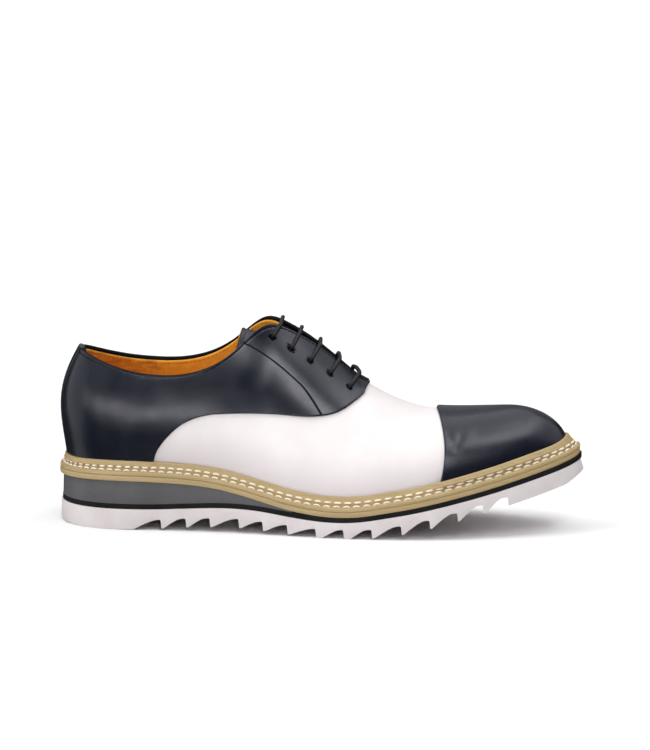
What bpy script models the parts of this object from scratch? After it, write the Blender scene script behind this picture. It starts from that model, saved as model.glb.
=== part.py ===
"""Right-foot spectator oxford on a saw-tooth wedge sole, built from the sole up.

The shoe stands on the floor with its toe towards +X, its outer (lateral) side towards -Y and +Z up.
Tables and sizes are in millimetres, with x measured from the rearmost point of the heel, y from the
middle of the heel (medial positive) and z from the floor. Meshes are written in metres about the
middle of the footprint.
"""

import math
from bisect import bisect_right
from typing import NamedTuple

import bmesh
import bpy
from mathutils import Matrix, Vector

MM = 0.001
WELD = 1e-6
SLIVER = 1e-7
SHARP_DEGREES = 35
LATERAL = -1
MEDIAL = 1
SIDES = (LATERAL, MEDIAL)

# Frame: the middle of the footprint, in the tables' own millimetres
FOOTPRINT_X = 153.1
FOOTPRINT_Y = -0.95

# Sole
OUTSOLE_BACK = 1.5
OUTSOLE_TIP = 306.0
HEEL_ROUND = 40.0
HEEL_ROUND_POWER = 2.2
TOE_ROUND = 97.0
TOE_ROUND_POWER = 2.1
TOE_SWING = 4.0
TOE_SWING_START = 200.0
BLACK_THICKNESS = 2.7
BLACK_REACH = -0.6
WEDGE_REACH = -0.8
WEDGE_FRONT = 134.0
MIDSOLE_THICKNESS = 3.2
MIDSOLE_REACH_HEEL = 1.3
MIDSOLE_REACH_TOE = -2.2
LAYER_GAP = 0.3
PLATE_STEPS = 40
PLATE_CLEAR = 0.004
EDGE_NORMAL_STEP = 0.002

# Saw teeth under the outsole
HEEL_BLOCK_FRONT = 44.0
TOOTH_TIPS = (60.3, 74.8, 88.8, 105.6, 119.6, 134.0, 150.6, 166.8, 183.2, 200.4, 216.9, 233.0, 248.0, 262.3)
TOOTH_DEPTH = 5.2
TOOTH_FACE_LEAN = 1.1
TOOTH_FLAT = 1.2
TOOTH_STANDING_FLAT = 3.6
TOOTH_ROOT_FLAT = 3.6
TOOTH_ROOT_RISE = 0.5

# Welt, measured inwards from the midsole's edge and up from its top
WELT_FLANGE_HEIGHT = 2.2
WELT_CHANNEL_INSET = 2.2
WELT_CHANNEL_HEIGHT = 3.3
WELT_RIB_INSET = 3.4
WELT_RIB_HEIGHT = 5.2
WELT_BEAD_HEIGHT = 8.0
WELT_BEAD_SHOULDER = 0.6
WELT_TOE_LIFT = 0.8
WELT_TOE_LIFT_START = 0.86
WELT_BEAD_THICKNESS = 1.7

# Upper
WALL = 1.8
OVERLAY_GAP = 0.5
OVERLAY = 1.1
OVERLAY_FOOT = 0.04
UPPER_FOOT_GAP = 1.1
FEATHER_INSET_HEEL = 5.2
FEATHER_INSET_SIDE = 6.8
FEATHER_INSET_TOE = 10.3
HEEL_INSET_TURNS = (0.05, 0.3)
TOE_INSET_TURNS = (0.75, 1.0)
BULGE_SKEW = 1.3
INSOLE_THICKNESS = 3.0
INSOLE_GAP = 0.5
WELT_GAP = 0.45
WALL_NORMAL_STEP = 0.02
BISECTIONS = 24

# Lacing
EYELET_RADIUS = 2.2
EYELET_FACETS = 8
EYELET_PUNCH_LENGTH = 14.0
LACE_RADIUS = 1.1
LACE_CLEARANCE = 0.6
LACE_DIP = 1.4
LACE_EYELET_LIFT = 0.7
LACE_SHARES = (0.22, 0.5, 0.78)
LACE_ROUND_STEPS = 2

# Tongue
TONGUE_THICKNESS = 1.6
TONGUE_STEPS_ACROSS = 4
TONGUE_ROUNDNESS = 1.8
TONGUE_MIDDLE = 0.8


class SoleRow(NamedTuple):
    """One station of the sole: half-widths of its edge, and the height of each layer."""

    x: float
    lateral: float
    medial: float
    tread: float
    outsole_top: float
    midsole_base: float


SOLE = (
    SoleRow(0.0, 38.5, 37.0, 2.4, 12.2, 27.8),
    SoleRow(4.0, 38.5, 37.0, 0.8, 12.2, 28.0),
    SoleRow(9.0, 38.6, 37.0, 0.0, 12.1, 28.3),
    SoleRow(30.0, 38.8, 37.0, 0.0, 12.1, 28.8),
    SoleRow(53.0, 39.0, 36.4, 0.6, 12.2, 28.4),
    SoleRow(75.0, 39.4, 34.6, 2.2, 13.2, 27.3),
    SoleRow(91.0, 41.0, 32.8, 3.0, 14.1, 25.5),
    SoleRow(105.0, 43.2, 32.4, 3.2, 14.2, 22.6),
    SoleRow(118.0, 46.0, 33.4, 2.4, 13.4, 19.2),
    SoleRow(134.0, 49.8, 37.0, 1.2, 11.3, 15.2),
    SoleRow(150.0, 53.2, 42.0, 0.0, 9.6, 12.8),
    SoleRow(163.0, 55.2, 46.2, 0.0, 9.2, 12.2),
    SoleRow(176.0, 56.2, 49.6, 0.0, 10.0, 13.0),
    SoleRow(190.0, 56.4, 52.4, 1.4, 12.3, 15.3),
    SoleRow(207.0, 55.4, 54.2, 4.2, 15.4, 18.4),
    SoleRow(229.0, 52.8, 54.0, 9.6, 20.3, 23.3),
    SoleRow(252.0, 49.6, 51.0, 15.9, 25.9, 28.9),
    SoleRow(274.0, 47.0, 47.0, 22.0, 32.0, 35.0),
    SoleRow(296.0, 44.0, 43.5, 28.4, 38.3, 41.3),
    SoleRow(306.0, 42.5, 42.5, 34.6, 42.0, 45.0),
)


class Section(NamedTuple):
    """One section of the upper, from the feather edge on the sole to its top edge or to the ridge.

    half_gap is the distance of the top from the ridge line. arch turns the wall from a straight line
    (0) to a quarter ellipse (1), tuck draws the toe in with the arch, and bulge swells the wall.
    """

    feather: float
    top_x: float
    ridge_y: float
    half_gap: float
    top_z: float
    medial_rise: float
    arch: float
    tuck: float
    bulge: float


SECTIONS = (
    Section(OUTSOLE_BACK, 12.8, 0.0, 0.0, 101.3, 0.0, 0.0, 0.0, 7.4),
    Section(5.0, 14.4, 0.0, 9.6, 100.2, 0.1, 0.0, 0.0, 7.2),
    Section(16.0, 20.4, 0.0, 17.4, 96.9, 0.6, 0.0, 0.0, 6.2),
    Section(34.0, 35.5, 0.0, 24.2, 90.6, 2.4, 0.0, 0.0, 4.6),
    Section(55.0, 56.0, 0.0, 26.8, 86.9, 4.0, 0.0, 0.0, 3.8),
    Section(77.0, 78.0, 0.0, 26.8, 89.4, 2.3, 0.0, 0.0, 3.4),
    Section(93.0, 97.0, 0.2, 24.0, 98.8, 0.6, 0.06, 0.0, 3.2),
    Section(103.0, 109.0, 0.4, 18.6, 109.8, 0.2, 0.16, 0.0, 3.4),
    Section(110.0, 117.5, 0.5, 12.0, 116.4, 1.6, 0.26, 0.0, 3.8),
    Section(116.0, 124.0, 0.6, 7.2, 117.6, 2.2, 0.34, 0.0, 4.2),
    Section(123.0, 131.0, 0.7, 5.8, 114.8, 2.0, 0.42, 0.0, 4.4),
    Section(134.0, 143.0, 0.9, 4.6, 108.4, 1.5, 0.50, 0.0, 4.4),
    Section(147.0, 156.0, 1.1, 3.2, 99.0, 1.2, 0.60, 0.0, 4.0),
    Section(160.0, 168.0, 1.4, 1.9, 89.4, 0.7, 0.74, 0.0, 3.2),
    Section(169.0, 175.5, 1.7, 0.0, 84.8, 0.0, 0.86, 0.0, 2.4),
    Section(176.0, 180.5, 2.0, 0.0, 82.6, 0.0, 0.92, 0.0, 2.0),
    Section(190.0, 192.0, 2.6, 0.0, 75.6, 0.0, 1.0, 0.0, 1.6),
    Section(207.0, 207.0, 3.4, 0.0, 70.1, 0.0, 1.0, 0.0, 1.2),
    Section(223.0, 219.6, 4.0, 0.0, 68.0, 0.0, 1.0, 0.1, 1.0),
    Section(249.0, 238.0, 4.4, 0.0, 68.3, 0.0, 1.0, 0.4, 0.6),
    Section(274.0, 252.0, 4.6, 0.0, 69.2, 0.0, 1.0, 0.7, 0.2),
    Section(293.0, 260.0, 4.6, 0.0, 69.7, 0.0, 1.0, 0.95, 0.0),
    Section(OUTSOLE_TIP, 263.0, 4.4, 0.0, 69.8, 0.0, 1.0, 1.0, 0.0),
)
LAST_SECTION = len(SECTIONS) - 1
SEAM_FOOT = 4
FACING_TOP = 9
THROAT_END = 14
QUARTER_FRONT = 14.8
CAP_SEAM = 18
CAP_BOW = 0.23
CAP_BOW_LEAN = 0.75
CAP_BOW_POWER = 1.3
SECTION_STEPS = 2
FINE_STEPS = 4
FINE_SECTIONS = (SEAM_FOOT, 20, 21)
WALL_ROWS = 9
QUARTER_ROWS = 7
QUARTER_FOOT_FADE = 0.25
CAP_FOOT_FADE = 0.5
CLOSED_GAP = 1e-6


class SeamPoint(NamedTuple):
    """A point of the vamp seam as it shows from the side: x, and height from the floor."""

    x: float
    z: float


VAMP_SEAM = (
    SeamPoint(54.0, 31.0),
    SeamPoint(55.6, 42.5),
    SeamPoint(58.6, 49.0),
    SeamPoint(64.4, 56.2),
    SeamPoint(71.2, 62.0),
    SeamPoint(80.5, 66.2),
    SeamPoint(92.0, 68.2),
    SeamPoint(123.0, 68.8),
    SeamPoint(147.0, 68.0),
    SeamPoint(161.2, 70.4),
    SeamPoint(172.7, 76.6),
    SeamPoint(178.6, 80.6),
)
SEAM_TURN = 12.0
SEAM_FRONT_X = 177.0


class Eyelet(NamedTuple):
    """An eyelet as it shows from the side, where its lace bar crosses the ridge, and how high it stands."""

    x: float
    z: float
    ridge_x: float
    crest: float


EYELETS = (
    Eyelet(124.0, 110.4, 128.0, 1.4),
    Eyelet(134.9, 104.0, 139.1, 1.6),
    Eyelet(146.1, 97.3, 150.6, 3.0),
    Eyelet(157.7, 90.0, 160.9, 2.6),
    Eyelet(169.0, 82.4, 171.0, 3.4),
)


class TongueRow(NamedTuple):
    """A section of the tongue: its crest, its half-width, and how far its wings fall."""

    x: float
    z: float
    half_width: float
    drop: float


TONGUE = (
    TongueRow(187.0, 73.6, 9.0, 2.6),
    TongueRow(176.0, 79.4, 11.5, 4.4),
    TongueRow(160.0, 90.6, 13.0, 7.4),
    TongueRow(145.0, 101.2, 13.6, 9.4),
    TongueRow(130.0, 109.0, 13.4, 11.0),
    TongueRow(117.0, 111.8, 13.0, 11.0),
    TongueRow(111.0, 113.2, 12.6, 11.0),
    TongueRow(107.2, 114.4, 11.6, 11.0),
)


class Finish(NamedTuple):
    """A plain material: linear colour, roughness."""

    colour: tuple
    roughness: float


WHITE_LEATHER = Finish((0.84, 0.81, 0.81), 0.42)
BLACK_LEATHER = Finish((0.012, 0.013, 0.018), 0.32)
TAN_LINING = Finish((0.48, 0.19, 0.035), 0.7)
TAN_WELT = Finish((0.46, 0.33, 0.16), 0.6)
GREY_FOAM = Finish((0.12, 0.12, 0.125), 0.75)
BLACK_RUBBER = Finish((0.01, 0.01, 0.012), 0.6)
WHITE_RUBBER = Finish((0.72, 0.67, 0.68), 0.6)
BLACK_CORD = Finish((0.014, 0.014, 0.018), 0.6)


class Curve:
    """A smooth line through one column of a table, read against another column."""

    def __init__(self, xs, ys, level_ends=False):
        self.xs = tuple(xs)
        self.ys = tuple(ys)
        self.last = len(self.xs) - 1
        self.level_ends = level_ends

    def slope(self, k):
        if self.level_ends and k in (0, self.last):
            return 0.0
        before = max(k - 1, 0)
        after = min(k + 1, self.last)
        return (self.ys[after] - self.ys[before]) / (self.xs[after] - self.xs[before])

    def __call__(self, at):
        k = min(max(bisect_right(self.xs, at) - 1, 0), self.last - 1)
        step = self.xs[k + 1] - self.xs[k]
        f = min(max((at - self.xs[k]) / step, 0.0), 1.0)
        rise = self.ys[k + 1] - self.ys[k]
        start = self.slope(k) * step
        end = self.slope(k + 1) * step
        return self.ys[k] + f * (start + f * (3 * rise - 2 * start - end + f * (start + end - 2 * rise)))


def mix(a, b, f):
    return a + (b - a) * f


def smoothstep(low, high, at):
    f = min(max((at - low) / (high - low), 0.0), 1.0)
    return f * f * (3 - 2 * f)


def column(rows, name):
    return [getattr(row, name) for row in rows]


SOLE_X = column(SOLE, "x")
HALF_WIDTH = {LATERAL: Curve(SOLE_X, column(SOLE, "lateral")), MEDIAL: Curve(SOLE_X, column(SOLE, "medial"))}
OUTSOLE_TOP = Curve(SOLE_X, column(SOLE, "outsole_top"))
MIDSOLE_BASE = Curve(SOLE_X, column(SOLE, "midsole_base"))
SEAM_HEIGHT = Curve(column(VAMP_SEAM, "x"), column(VAMP_SEAM, "z"))


def tread(x):
    """Height of the tooth tips at x, straight between the table's rows so that its flats stay flat."""
    k = min(max(bisect_right(SOLE_X, x) - 1, 0), len(SOLE) - 2)
    low, high = SOLE[k], SOLE[k + 1]
    return mix(low.tread, high.tread, (x - low.x) / (high.x - low.x))


def midsole_top(x):
    return MIDSOLE_BASE(x) + MIDSOLE_THICKNESS


def turn_of(x):
    """The place of x along the sole's edge: 0 at the back of the heel, 1 at the tip of the toe."""
    return math.acos(1 - 2 * (x - OUTSOLE_BACK) / (OUTSOLE_TIP - OUTSOLE_BACK)) / math.pi


def sole_edge(turn, side):
    """(x, y) of the outsole's edge."""
    x = OUTSOLE_BACK + (OUTSOLE_TIP - OUTSOLE_BACK) * (1 - math.cos(math.pi * turn)) / 2
    heel = min(max(1 - (x - OUTSOLE_BACK) / HEEL_ROUND, 0.0), 1.0)
    toe = min(max(1 - (OUTSOLE_TIP - x) / TOE_ROUND, 0.0), 1.0)
    rounding = (1 - heel**HEEL_ROUND_POWER) ** (1 / HEEL_ROUND_POWER)
    rounding *= (1 - toe**TOE_ROUND_POWER) ** (1 / TOE_ROUND_POWER)
    middle = TOE_SWING * smoothstep(TOE_SWING_START, OUTSOLE_TIP, x)
    return x, middle + side * HALF_WIDTH[side](x) * rounding


def edge_normal(turn, side):
    """Unit vector (x, y) pointing out of the sole's edge."""
    if turn in (0.0, 1.0):
        return 2 * turn - 1, 0.0
    x0, y0 = sole_edge(max(turn - EDGE_NORMAL_STEP, 0.0), side)
    x1, y1 = sole_edge(min(turn + EDGE_NORMAL_STEP, 1.0), side)
    length = math.hypot(x1 - x0, y1 - y0)
    return -side * (y1 - y0) / length, side * (x1 - x0) / length


def outline(turn, side, reach=0.0):
    """(x, y) of a line that runs outside the sole's edge by reach, or inside it where reach is negative."""
    x, y = sole_edge(turn, side)
    nx, ny = edge_normal(turn, side)
    return x + nx * reach, y + ny * reach


def midsole_reach(turn):
    return mix(MIDSOLE_REACH_HEEL, MIDSOLE_REACH_TOE, turn)


def feather_inset(turn):
    """How far the upper's foot stands inside the sole's edge."""
    heel = mix(FEATHER_INSET_HEEL, FEATHER_INSET_SIDE, smoothstep(*HEEL_INSET_TURNS, turn))
    return mix(heel, FEATHER_INSET_TOE, smoothstep(*TOE_INSET_TURNS, turn))


INDEX = range(len(SECTIONS))
SECTION = {
    name: Curve(INDEX, column(SECTIONS, name), level_ends=name != "half_gap")
    for name in Section._fields
    if name != "feather"
}
SECTION_TURN = Curve(INDEX, [turn_of(row.feather) for row in SECTIONS])


def wall_point(section, t, side):
    """A point of the upper's outer face: t is 0 at the feather edge and 1 at the top edge or ridge."""
    turn = min(max(SECTION_TURN(section), 0.0), 1.0)
    nx, ny = edge_normal(turn, side)
    foot_x, foot_y = outline(turn, side, -feather_inset(turn))
    foot_z = midsole_top(foot_x) + UPPER_FOOT_GAP
    top_y = SECTION["ridge_y"](section) + side * max(SECTION["half_gap"](section), 0.0)
    top_z = SECTION["top_z"](section)
    if side == MEDIAL:
        top_z += max(SECTION["medial_rise"](section), 0.0)
    arch = min(max(SECTION["arch"](section), 0.0), 1.0)
    angle = t * math.pi / 2
    inward = mix(t, 1 - math.cos(angle), arch)
    upward = mix(t, math.sin(angle), arch)
    along = mix(upward, inward, min(max(SECTION["tuck"](section), 0.0), 1.0))
    swell = SECTION["bulge"](section) * math.sin(math.pi * t**BULGE_SKEW)
    x = mix(foot_x, SECTION["top_x"](section), along) + nx * swell
    y = mix(foot_y, top_y, inward) + ny * swell
    return Vector((x, y, mix(foot_z, top_z, upward)))


def closed_ridge(section):
    return SECTION["half_gap"](section) < CLOSED_GAP and section >= THROAT_END


def wall_normal(section, t, side):
    """Unit normal of the outer face, pointing out of the shoe."""
    step = WALL_NORMAL_STEP
    low, high = max(section - step, 0.0), min(section + step, LAST_SECTION)
    along = wall_point(high, t, side) - wall_point(low, t, side)
    up = wall_point(section, min(t + step, 1.0), side) - wall_point(section, max(t - step, 0.0), side)
    normal = up.cross(along) * side
    if t == 1.0 and closed_ridge(section):
        ridge = wall_point(high, t, LATERAL) - wall_point(low, t, LATERAL)
        normal = Vector((-ridge.z, 0.0, ridge.x))
    elif section == LAST_SECTION:
        normal = Vector((up.z, 0.0, -up.x))
    elif section == 0:
        normal = Vector((-up.z, 0.0, up.x))
    return normal.normalized()


def skin_point(section, t, side, offset):
    """A point at a distance outside (or, if negative, inside) the upper's outer face."""
    return wall_point(section, t, side) + wall_normal(section, t, side) * offset


def height_on_wall(section, z, side):
    """The t at which a section of the wall reaches height z."""
    low, high = 0.0, 1.0
    for _ in range(BISECTIONS):
        t = (low + high) / 2
        if wall_point(section, t, side).z < z:
            low = t
        else:
            high = t
    return low


def place_on_wall(x, z, side):
    """(section, t) of the point of the wall that shows at x, z from the side."""
    low, high = 0.0, float(LAST_SECTION)
    for _ in range(BISECTIONS):
        section = (low + high) / 2
        if wall_point(section, height_on_wall(section, z, side), side).x < x:
            low = section
        else:
            high = section
    return low, height_on_wall(low, z, side)


def seam_on_wall(section, side):
    """The t at which a section crosses the vamp seam, or the quarter's foot where it reaches the sole."""
    low, high = 0.0, 1.0
    for _ in range(BISECTIONS):
        t = (low + high) / 2
        point = wall_point(section, t, side)
        if point.x < VAMP_SEAM[0].x or point.z > SEAM_HEIGHT(point.x):
            high = t
        else:
            low = t
    return max(high, OVERLAY_FOOT)


def to_frame(point):
    """A point of the tables, as metres about the middle of the footprint."""
    return Vector(((point[0] - FOOTPRINT_X) * MM, (point[1] - FOOTPRINT_Y) * MM, point[2] * MM))


def make_material(name, finish):
    material = bpy.data.materials.new(name)
    material.use_nodes = True
    shader = material.node_tree.nodes["Principled BSDF"]
    shader.inputs["Base Color"].default_value = (*finish.colour, 1.0)
    shader.inputs["Roughness"].default_value = finish.roughness
    shader.inputs["Metallic"].default_value = 0.0
    return material


def add_object(name, data, collection, finish=None):
    obj = bpy.data.objects.new(name, data)
    collection.objects.link(obj)
    if finish:
        data.materials.append(make_material(name, finish))
    return obj


def mesh_from(name, build):
    """A mesh that build fills through bmesh, with its doubled points made one and its faces smooth."""
    shape = bmesh.new()
    build(shape)
    bmesh.ops.remove_doubles(shape, verts=shape.verts, dist=WELD)
    mesh = bpy.data.meshes.new(name)
    shape.to_mesh(mesh)
    shape.free()
    mesh.shade_smooth()
    mesh.set_sharp_from_angle(angle=math.radians(SHARP_DEGREES))
    return mesh


def add_strip(shape, columns, closed=False):
    """Quads between neighbouring columns of points."""
    lines = [[shape.verts.new(to_frame(point)) for point in points] for points in columns]
    followers = lines[1:] + lines[:1] if closed else lines[1:]
    for line, after in zip(lines, followers):
        for k in range(len(line) - 1):
            shape.faces.new((line[k], line[k + 1], after[k + 1], after[k]))


def plate_stations(extra=()):
    """Places along the sole's edge, close together where it turns, with the extra x positions among them."""
    marks = [turn_of(x) for x in extra]
    spread = [k / PLATE_STEPS for k in range(PLATE_STEPS + 1)]
    clear = [turn for turn in spread if all(abs(turn - mark) > PLATE_CLEAR for mark in marks)]
    return sorted(clear + marks)


def rims_along(turns, reach):
    """Pairs of (x, y), lateral and medial, on a line that runs outside the sole's edge by reach."""
    return [[outline(turn, side, reach(turn)) for side in SIDES] for turn in turns]


def add_plate(shape, rims, bottom, top):
    """A layer of the sole between two heights, with a pair of edge points for each station."""
    columns = []
    for lateral, medial in rims:
        corners = ((lateral, top), (medial, top), (medial, bottom), (lateral, bottom), (lateral, top))
        columns.append([(x, y, height(x)) for (x, y), height in corners])
    add_strip(shape, columns)
    bmesh.ops.remove_doubles(shape, verts=shape.verts, dist=WELD)
    bmesh.ops.dissolve_degenerate(shape, edges=shape.edges, dist=SLIVER)
    bmesh.ops.holes_fill(shape, edges=[edge for edge in shape.edges if edge.is_boundary])
    bmesh.ops.recalc_face_normals(shape, faces=shape.faces)


def tooth_corners():
    """(x, z) corners of the outsole's underside between the heel block and the toe block."""
    corners = [(HEEL_BLOCK_FRONT, tread(HEEL_BLOCK_FRONT))]
    for tip in TOOTH_TIPS:
        standing = tread(tip) == 0.0
        flat = TOOTH_STANDING_FLAT if standing else TOOTH_FLAT
        root = tip - TOOTH_FACE_LEAN
        corners.append((root - TOOTH_ROOT_FLAT, tread(root) + TOOTH_DEPTH - TOOTH_ROOT_RISE))
        corners.append((root, tread(root) + TOOTH_DEPTH))
        corners.append((tip, tread(tip)))
        corners.append((tip + flat, tread(tip + flat)))
    return corners


def outsole_underside():
    """The height of the outsole's underside along x, with its teeth."""
    corners = tooth_corners()
    first, last = corners[0][0], corners[-1][0]
    xs = [x for x, _ in corners]

    def height(x):
        if x <= first or x >= last:
            return tread(x)
        k = min(bisect_right(xs, x) - 1, len(corners) - 2)
        (x0, z0), (x1, z1) = corners[k], corners[k + 1]
        return mix(z0, z1, (x - x0) / (x1 - x0))

    return height


def build_outsole(collection):
    corners = [x for x, _ in tooth_corners()]
    heel_flats = [row.x for row in SOLE if OUTSOLE_BACK < row.x < HEEL_BLOCK_FRONT]

    def build(shape):
        rims = rims_along(plate_stations(corners + heel_flats), lambda turn: 0.0)
        add_plate(shape, rims, outsole_underside(), OUTSOLE_TOP)

    add_object("outsole", mesh_from("outsole", build), collection, WHITE_RUBBER)


def black_top(x):
    return OUTSOLE_TOP(x) + LAYER_GAP + BLACK_THICKNESS


def build_black_layer(collection):
    def build(shape):
        bottom = lambda x: OUTSOLE_TOP(x) + LAYER_GAP
        top = lambda x: min(black_top(x), MIDSOLE_BASE(x) - LAYER_GAP)
        rims = rims_along(plate_stations(), lambda turn: BLACK_REACH * (1 + turn))
        add_plate(shape, rims, bottom, top)

    add_object("black_sole_layer", mesh_from("black_sole_layer", build), collection, BLACK_RUBBER)


def build_wedge(collection):
    def build(shape):
        turns = [turn for turn in plate_stations([WEDGE_FRONT]) if turn <= turn_of(WEDGE_FRONT)]
        bottom = lambda x: black_top(x) + LAYER_GAP
        top = lambda x: max(MIDSOLE_BASE(x) - LAYER_GAP, bottom(x) + LAYER_GAP)
        add_plate(shape, rims_along(turns, lambda turn: WEDGE_REACH), bottom, top)

    add_object("heel_wedge", mesh_from("heel_wedge", build), collection, GREY_FOAM)


def build_midsole(collection):
    def build(shape):
        add_plate(shape, rims_along(plate_stations(), midsole_reach), MIDSOLE_BASE, midsole_top)

    add_object("midsole", mesh_from("midsole", build), collection, TAN_WELT)


def section_steps(first, last):
    """Places along the upper's sections, closer together at the toe and where the vamp seam rises."""
    places = []
    for section in range(LAST_SECTION):
        steps = FINE_STEPS if section in FINE_SECTIONS else SECTION_STEPS
        places += [section + k / steps for k in range(steps)]
    return [place for place in places + [float(LAST_SECTION)] if first <= place <= last]


def ring_columns():
    """(section, side) of each column of the upper, from the toe along the lateral side and back."""
    steps = section_steps(0, LAST_SECTION)
    lateral = [(section, LATERAL) for section in reversed(steps)]
    return lateral + [(section, MEDIAL) for section in steps[1:-1]]


def overlay_at_foot(section):
    """How far an overlay stands off the wall at the feather edge: none along the white vamp."""
    quarter = 1 - smoothstep(SEAM_FOOT, SEAM_FOOT + QUARTER_FOOT_FADE, section)
    cap = smoothstep(CAP_SEAM - CAP_FOOT_FADE, CAP_SEAM, section)
    return (OVERLAY_GAP + OVERLAY) * max(quarter, cap)


def welt_ring(section, side):
    """The closed profile of the welt at one column of the upper."""
    turn = min(max(SECTION_TURN(section), 0.0), 1.0)
    stand_off = overlay_at_foot(section) + WELT_GAP
    floor_z = midsole_top(wall_point(section, 0.0, side).x) + LAYER_GAP
    bead_top = WELT_BEAD_HEIGHT + WELT_TOE_LIFT * smoothstep(WELT_TOE_LIFT_START, 1.0, turn)

    def on_sole(inset, height):
        x, y = outline(turn, side, midsole_reach(turn) - inset)
        return x, y, midsole_top(x) + LAYER_GAP + height

    def on_wall(height, out):
        t = height_on_wall(section, floor_z + height, side)
        return skin_point(section, t, side, stand_off + out)

    foot = skin_point(section, 0.0, side, stand_off)
    foot.z = midsole_top(foot.x) + LAYER_GAP
    profile = [
        on_sole(0.0, 0.0),
        on_sole(0.0, WELT_FLANGE_HEIGHT),
        on_sole(WELT_CHANNEL_INSET, WELT_CHANNEL_HEIGHT),
        on_sole(WELT_RIB_INSET, WELT_RIB_HEIGHT),
        on_wall(bead_top - WELT_BEAD_SHOULDER, WELT_BEAD_THICKNESS),
        on_wall(bead_top, 0.0),
        foot,
    ]
    return profile + profile[:1]


def build_welt(collection):
    def build(shape):
        add_strip(shape, [welt_ring(section, side) for section, side in ring_columns()], closed=True)
        bmesh.ops.remove_doubles(shape, verts=shape.verts, dist=WELD)
        bmesh.ops.recalc_face_normals(shape, faces=shape.faces)

    add_object("welt", mesh_from("welt", build), collection, TAN_WELT)


def insole_edge(section, side):
    """(x, y) just inside the upper, at the height of the insole's top."""
    foot = wall_point(section, 0.0, side)
    t = height_on_wall(section, midsole_top(foot.x) + LAYER_GAP + INSOLE_THICKNESS, side)
    edge = skin_point(section, t, side, -(WALL + INSOLE_GAP))
    return edge.x, edge.y


def build_insole(collection):
    def build(shape):
        bottom = lambda x: midsole_top(x) + LAYER_GAP
        top = lambda x: bottom(x) + INSOLE_THICKNESS
        rims = [[insole_edge(section, side) for side in SIDES] for section in section_steps(0, LAST_SECTION)]
        add_plate(shape, rims, bottom, top)

    add_object("insole", mesh_from("insole", build), collection, TAN_LINING)


def add_shell(obj, thickness, inwards):
    shell = obj.modifiers.new("wall", "SOLIDIFY")
    shell.thickness = thickness * MM
    shell.offset = -1.0 if inwards else 1.0
    shell.use_even_offset = True


def add_cut(obj, cutter):
    cut = obj.modifiers.new("eyelets", "BOOLEAN")
    cut.operation = "DIFFERENCE"
    cut.object = cutter
    cut.solver = "EXACT"


def build_upper(collection, punch):
    def build(shape):
        heights = [k / (WALL_ROWS - 1) for k in range(WALL_ROWS)]
        columns = [[wall_point(section, t, side) for t in heights] for section, side in ring_columns()]
        add_strip(shape, columns, closed=True)

    upper = add_object("upper", mesh_from("upper", build), collection, WHITE_LEATHER)
    add_shell(upper, WALL, inwards=True)
    add_cut(upper, punch)


def quarter_column(section, side):
    """(section, t) from the vamp seam up to the top edge, swung to the seam's own front end."""
    turn_x = wall_point(SEAM_TURN, seam_on_wall(SEAM_TURN, side), side).x
    if section <= SEAM_TURN:
        foot = (section, seam_on_wall(section, side))
    else:
        x = mix(turn_x, SEAM_FRONT_X, (section - SEAM_TURN) / (QUARTER_FRONT - SEAM_TURN))
        foot = place_on_wall(x, SEAM_HEIGHT(x), side)
    shares = [k / QUARTER_ROWS for k in range(QUARTER_ROWS + 1)]
    return [(mix(foot[0], section, share), mix(foot[1], 1.0, share)) for share in shares]


def build_quarters(collection, punch):
    steps = section_steps(0, THROAT_END) + [QUARTER_FRONT]

    def build(shape):
        route = [(section, LATERAL) for section in reversed(steps)]
        route += [(section, MEDIAL) for section in steps[1:]]
        columns = []
        for section, side in route:
            places = quarter_column(section, side)
            columns.append([skin_point(at, t, side, OVERLAY_GAP) for at, t in places])
        add_strip(shape, columns)

    quarters = add_object("quarters", mesh_from("quarters", build), collection, BLACK_LEATHER)
    add_shell(quarters, OVERLAY, inwards=False)
    add_cut(quarters, punch)


def cap_bow(t):
    """How far the cap seam bows forward, in sections: most below half height, none at foot and ridge."""
    return CAP_BOW * max(math.sin(math.pi * t**CAP_BOW_LEAN), 0.0) ** CAP_BOW_POWER


def build_toe_cap(collection):
    steps = section_steps(CAP_SEAM, LAST_SECTION)
    route = [(section, MEDIAL) for section in steps[:-1]]
    route += [(section, LATERAL) for section in reversed(steps)]
    heights = [mix(OVERLAY_FOOT, 1.0, k / (WALL_ROWS - 1)) for k in range(WALL_ROWS)]

    def build(shape):
        columns = []
        for section, side in route:
            fade = (LAST_SECTION - section) / (LAST_SECTION - CAP_SEAM)
            places = [(section + fade * cap_bow(t), t) for t in heights]
            columns.append([skin_point(at, t, side, OVERLAY_GAP) for at, t in places])
        add_strip(shape, columns)

    cap = add_object("toe_cap", mesh_from("toe_cap", build), collection, BLACK_LEATHER)
    add_shell(cap, OVERLAY, inwards=False)


def tongue_section(k):
    """Points across the tongue at one row, from its lateral wing over the crest to its medial wing."""
    row = TONGUE[k]
    before, after = TONGUE[max(k - 1, 0)], TONGUE[min(k + 1, len(TONGUE) - 1)]
    back = Vector((after.x - before.x, 0.0, after.z - before.z)).normalized()
    out = Vector((back.z, 0.0, -back.x))
    middle = Vector((row.x, TONGUE_MIDDLE, row.z))
    points = []
    for step in range(-TONGUE_STEPS_ACROSS, TONGUE_STEPS_ACROSS + 1):
        across = step / TONGUE_STEPS_ACROSS
        fall = abs(across) ** TONGUE_ROUNDNESS
        wing = Vector((0.0, row.half_width * across, 0.0))
        points.append(middle + wing - out * row.drop * fall)
    return points


def build_tongue(collection):
    def build(shape):
        add_strip(shape, [tongue_section(k) for k in range(len(TONGUE))])

    tongue = add_object("tongue", mesh_from("tongue", build), collection, BLACK_LEATHER)
    add_shell(tongue, TONGUE_THICKNESS, inwards=True)


def eyelet_place(eyelet, side):
    section, t = place_on_wall(eyelet.x, eyelet.z, side)
    return skin_point(section, t, side, 0.0), wall_normal(section, t, side)


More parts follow.
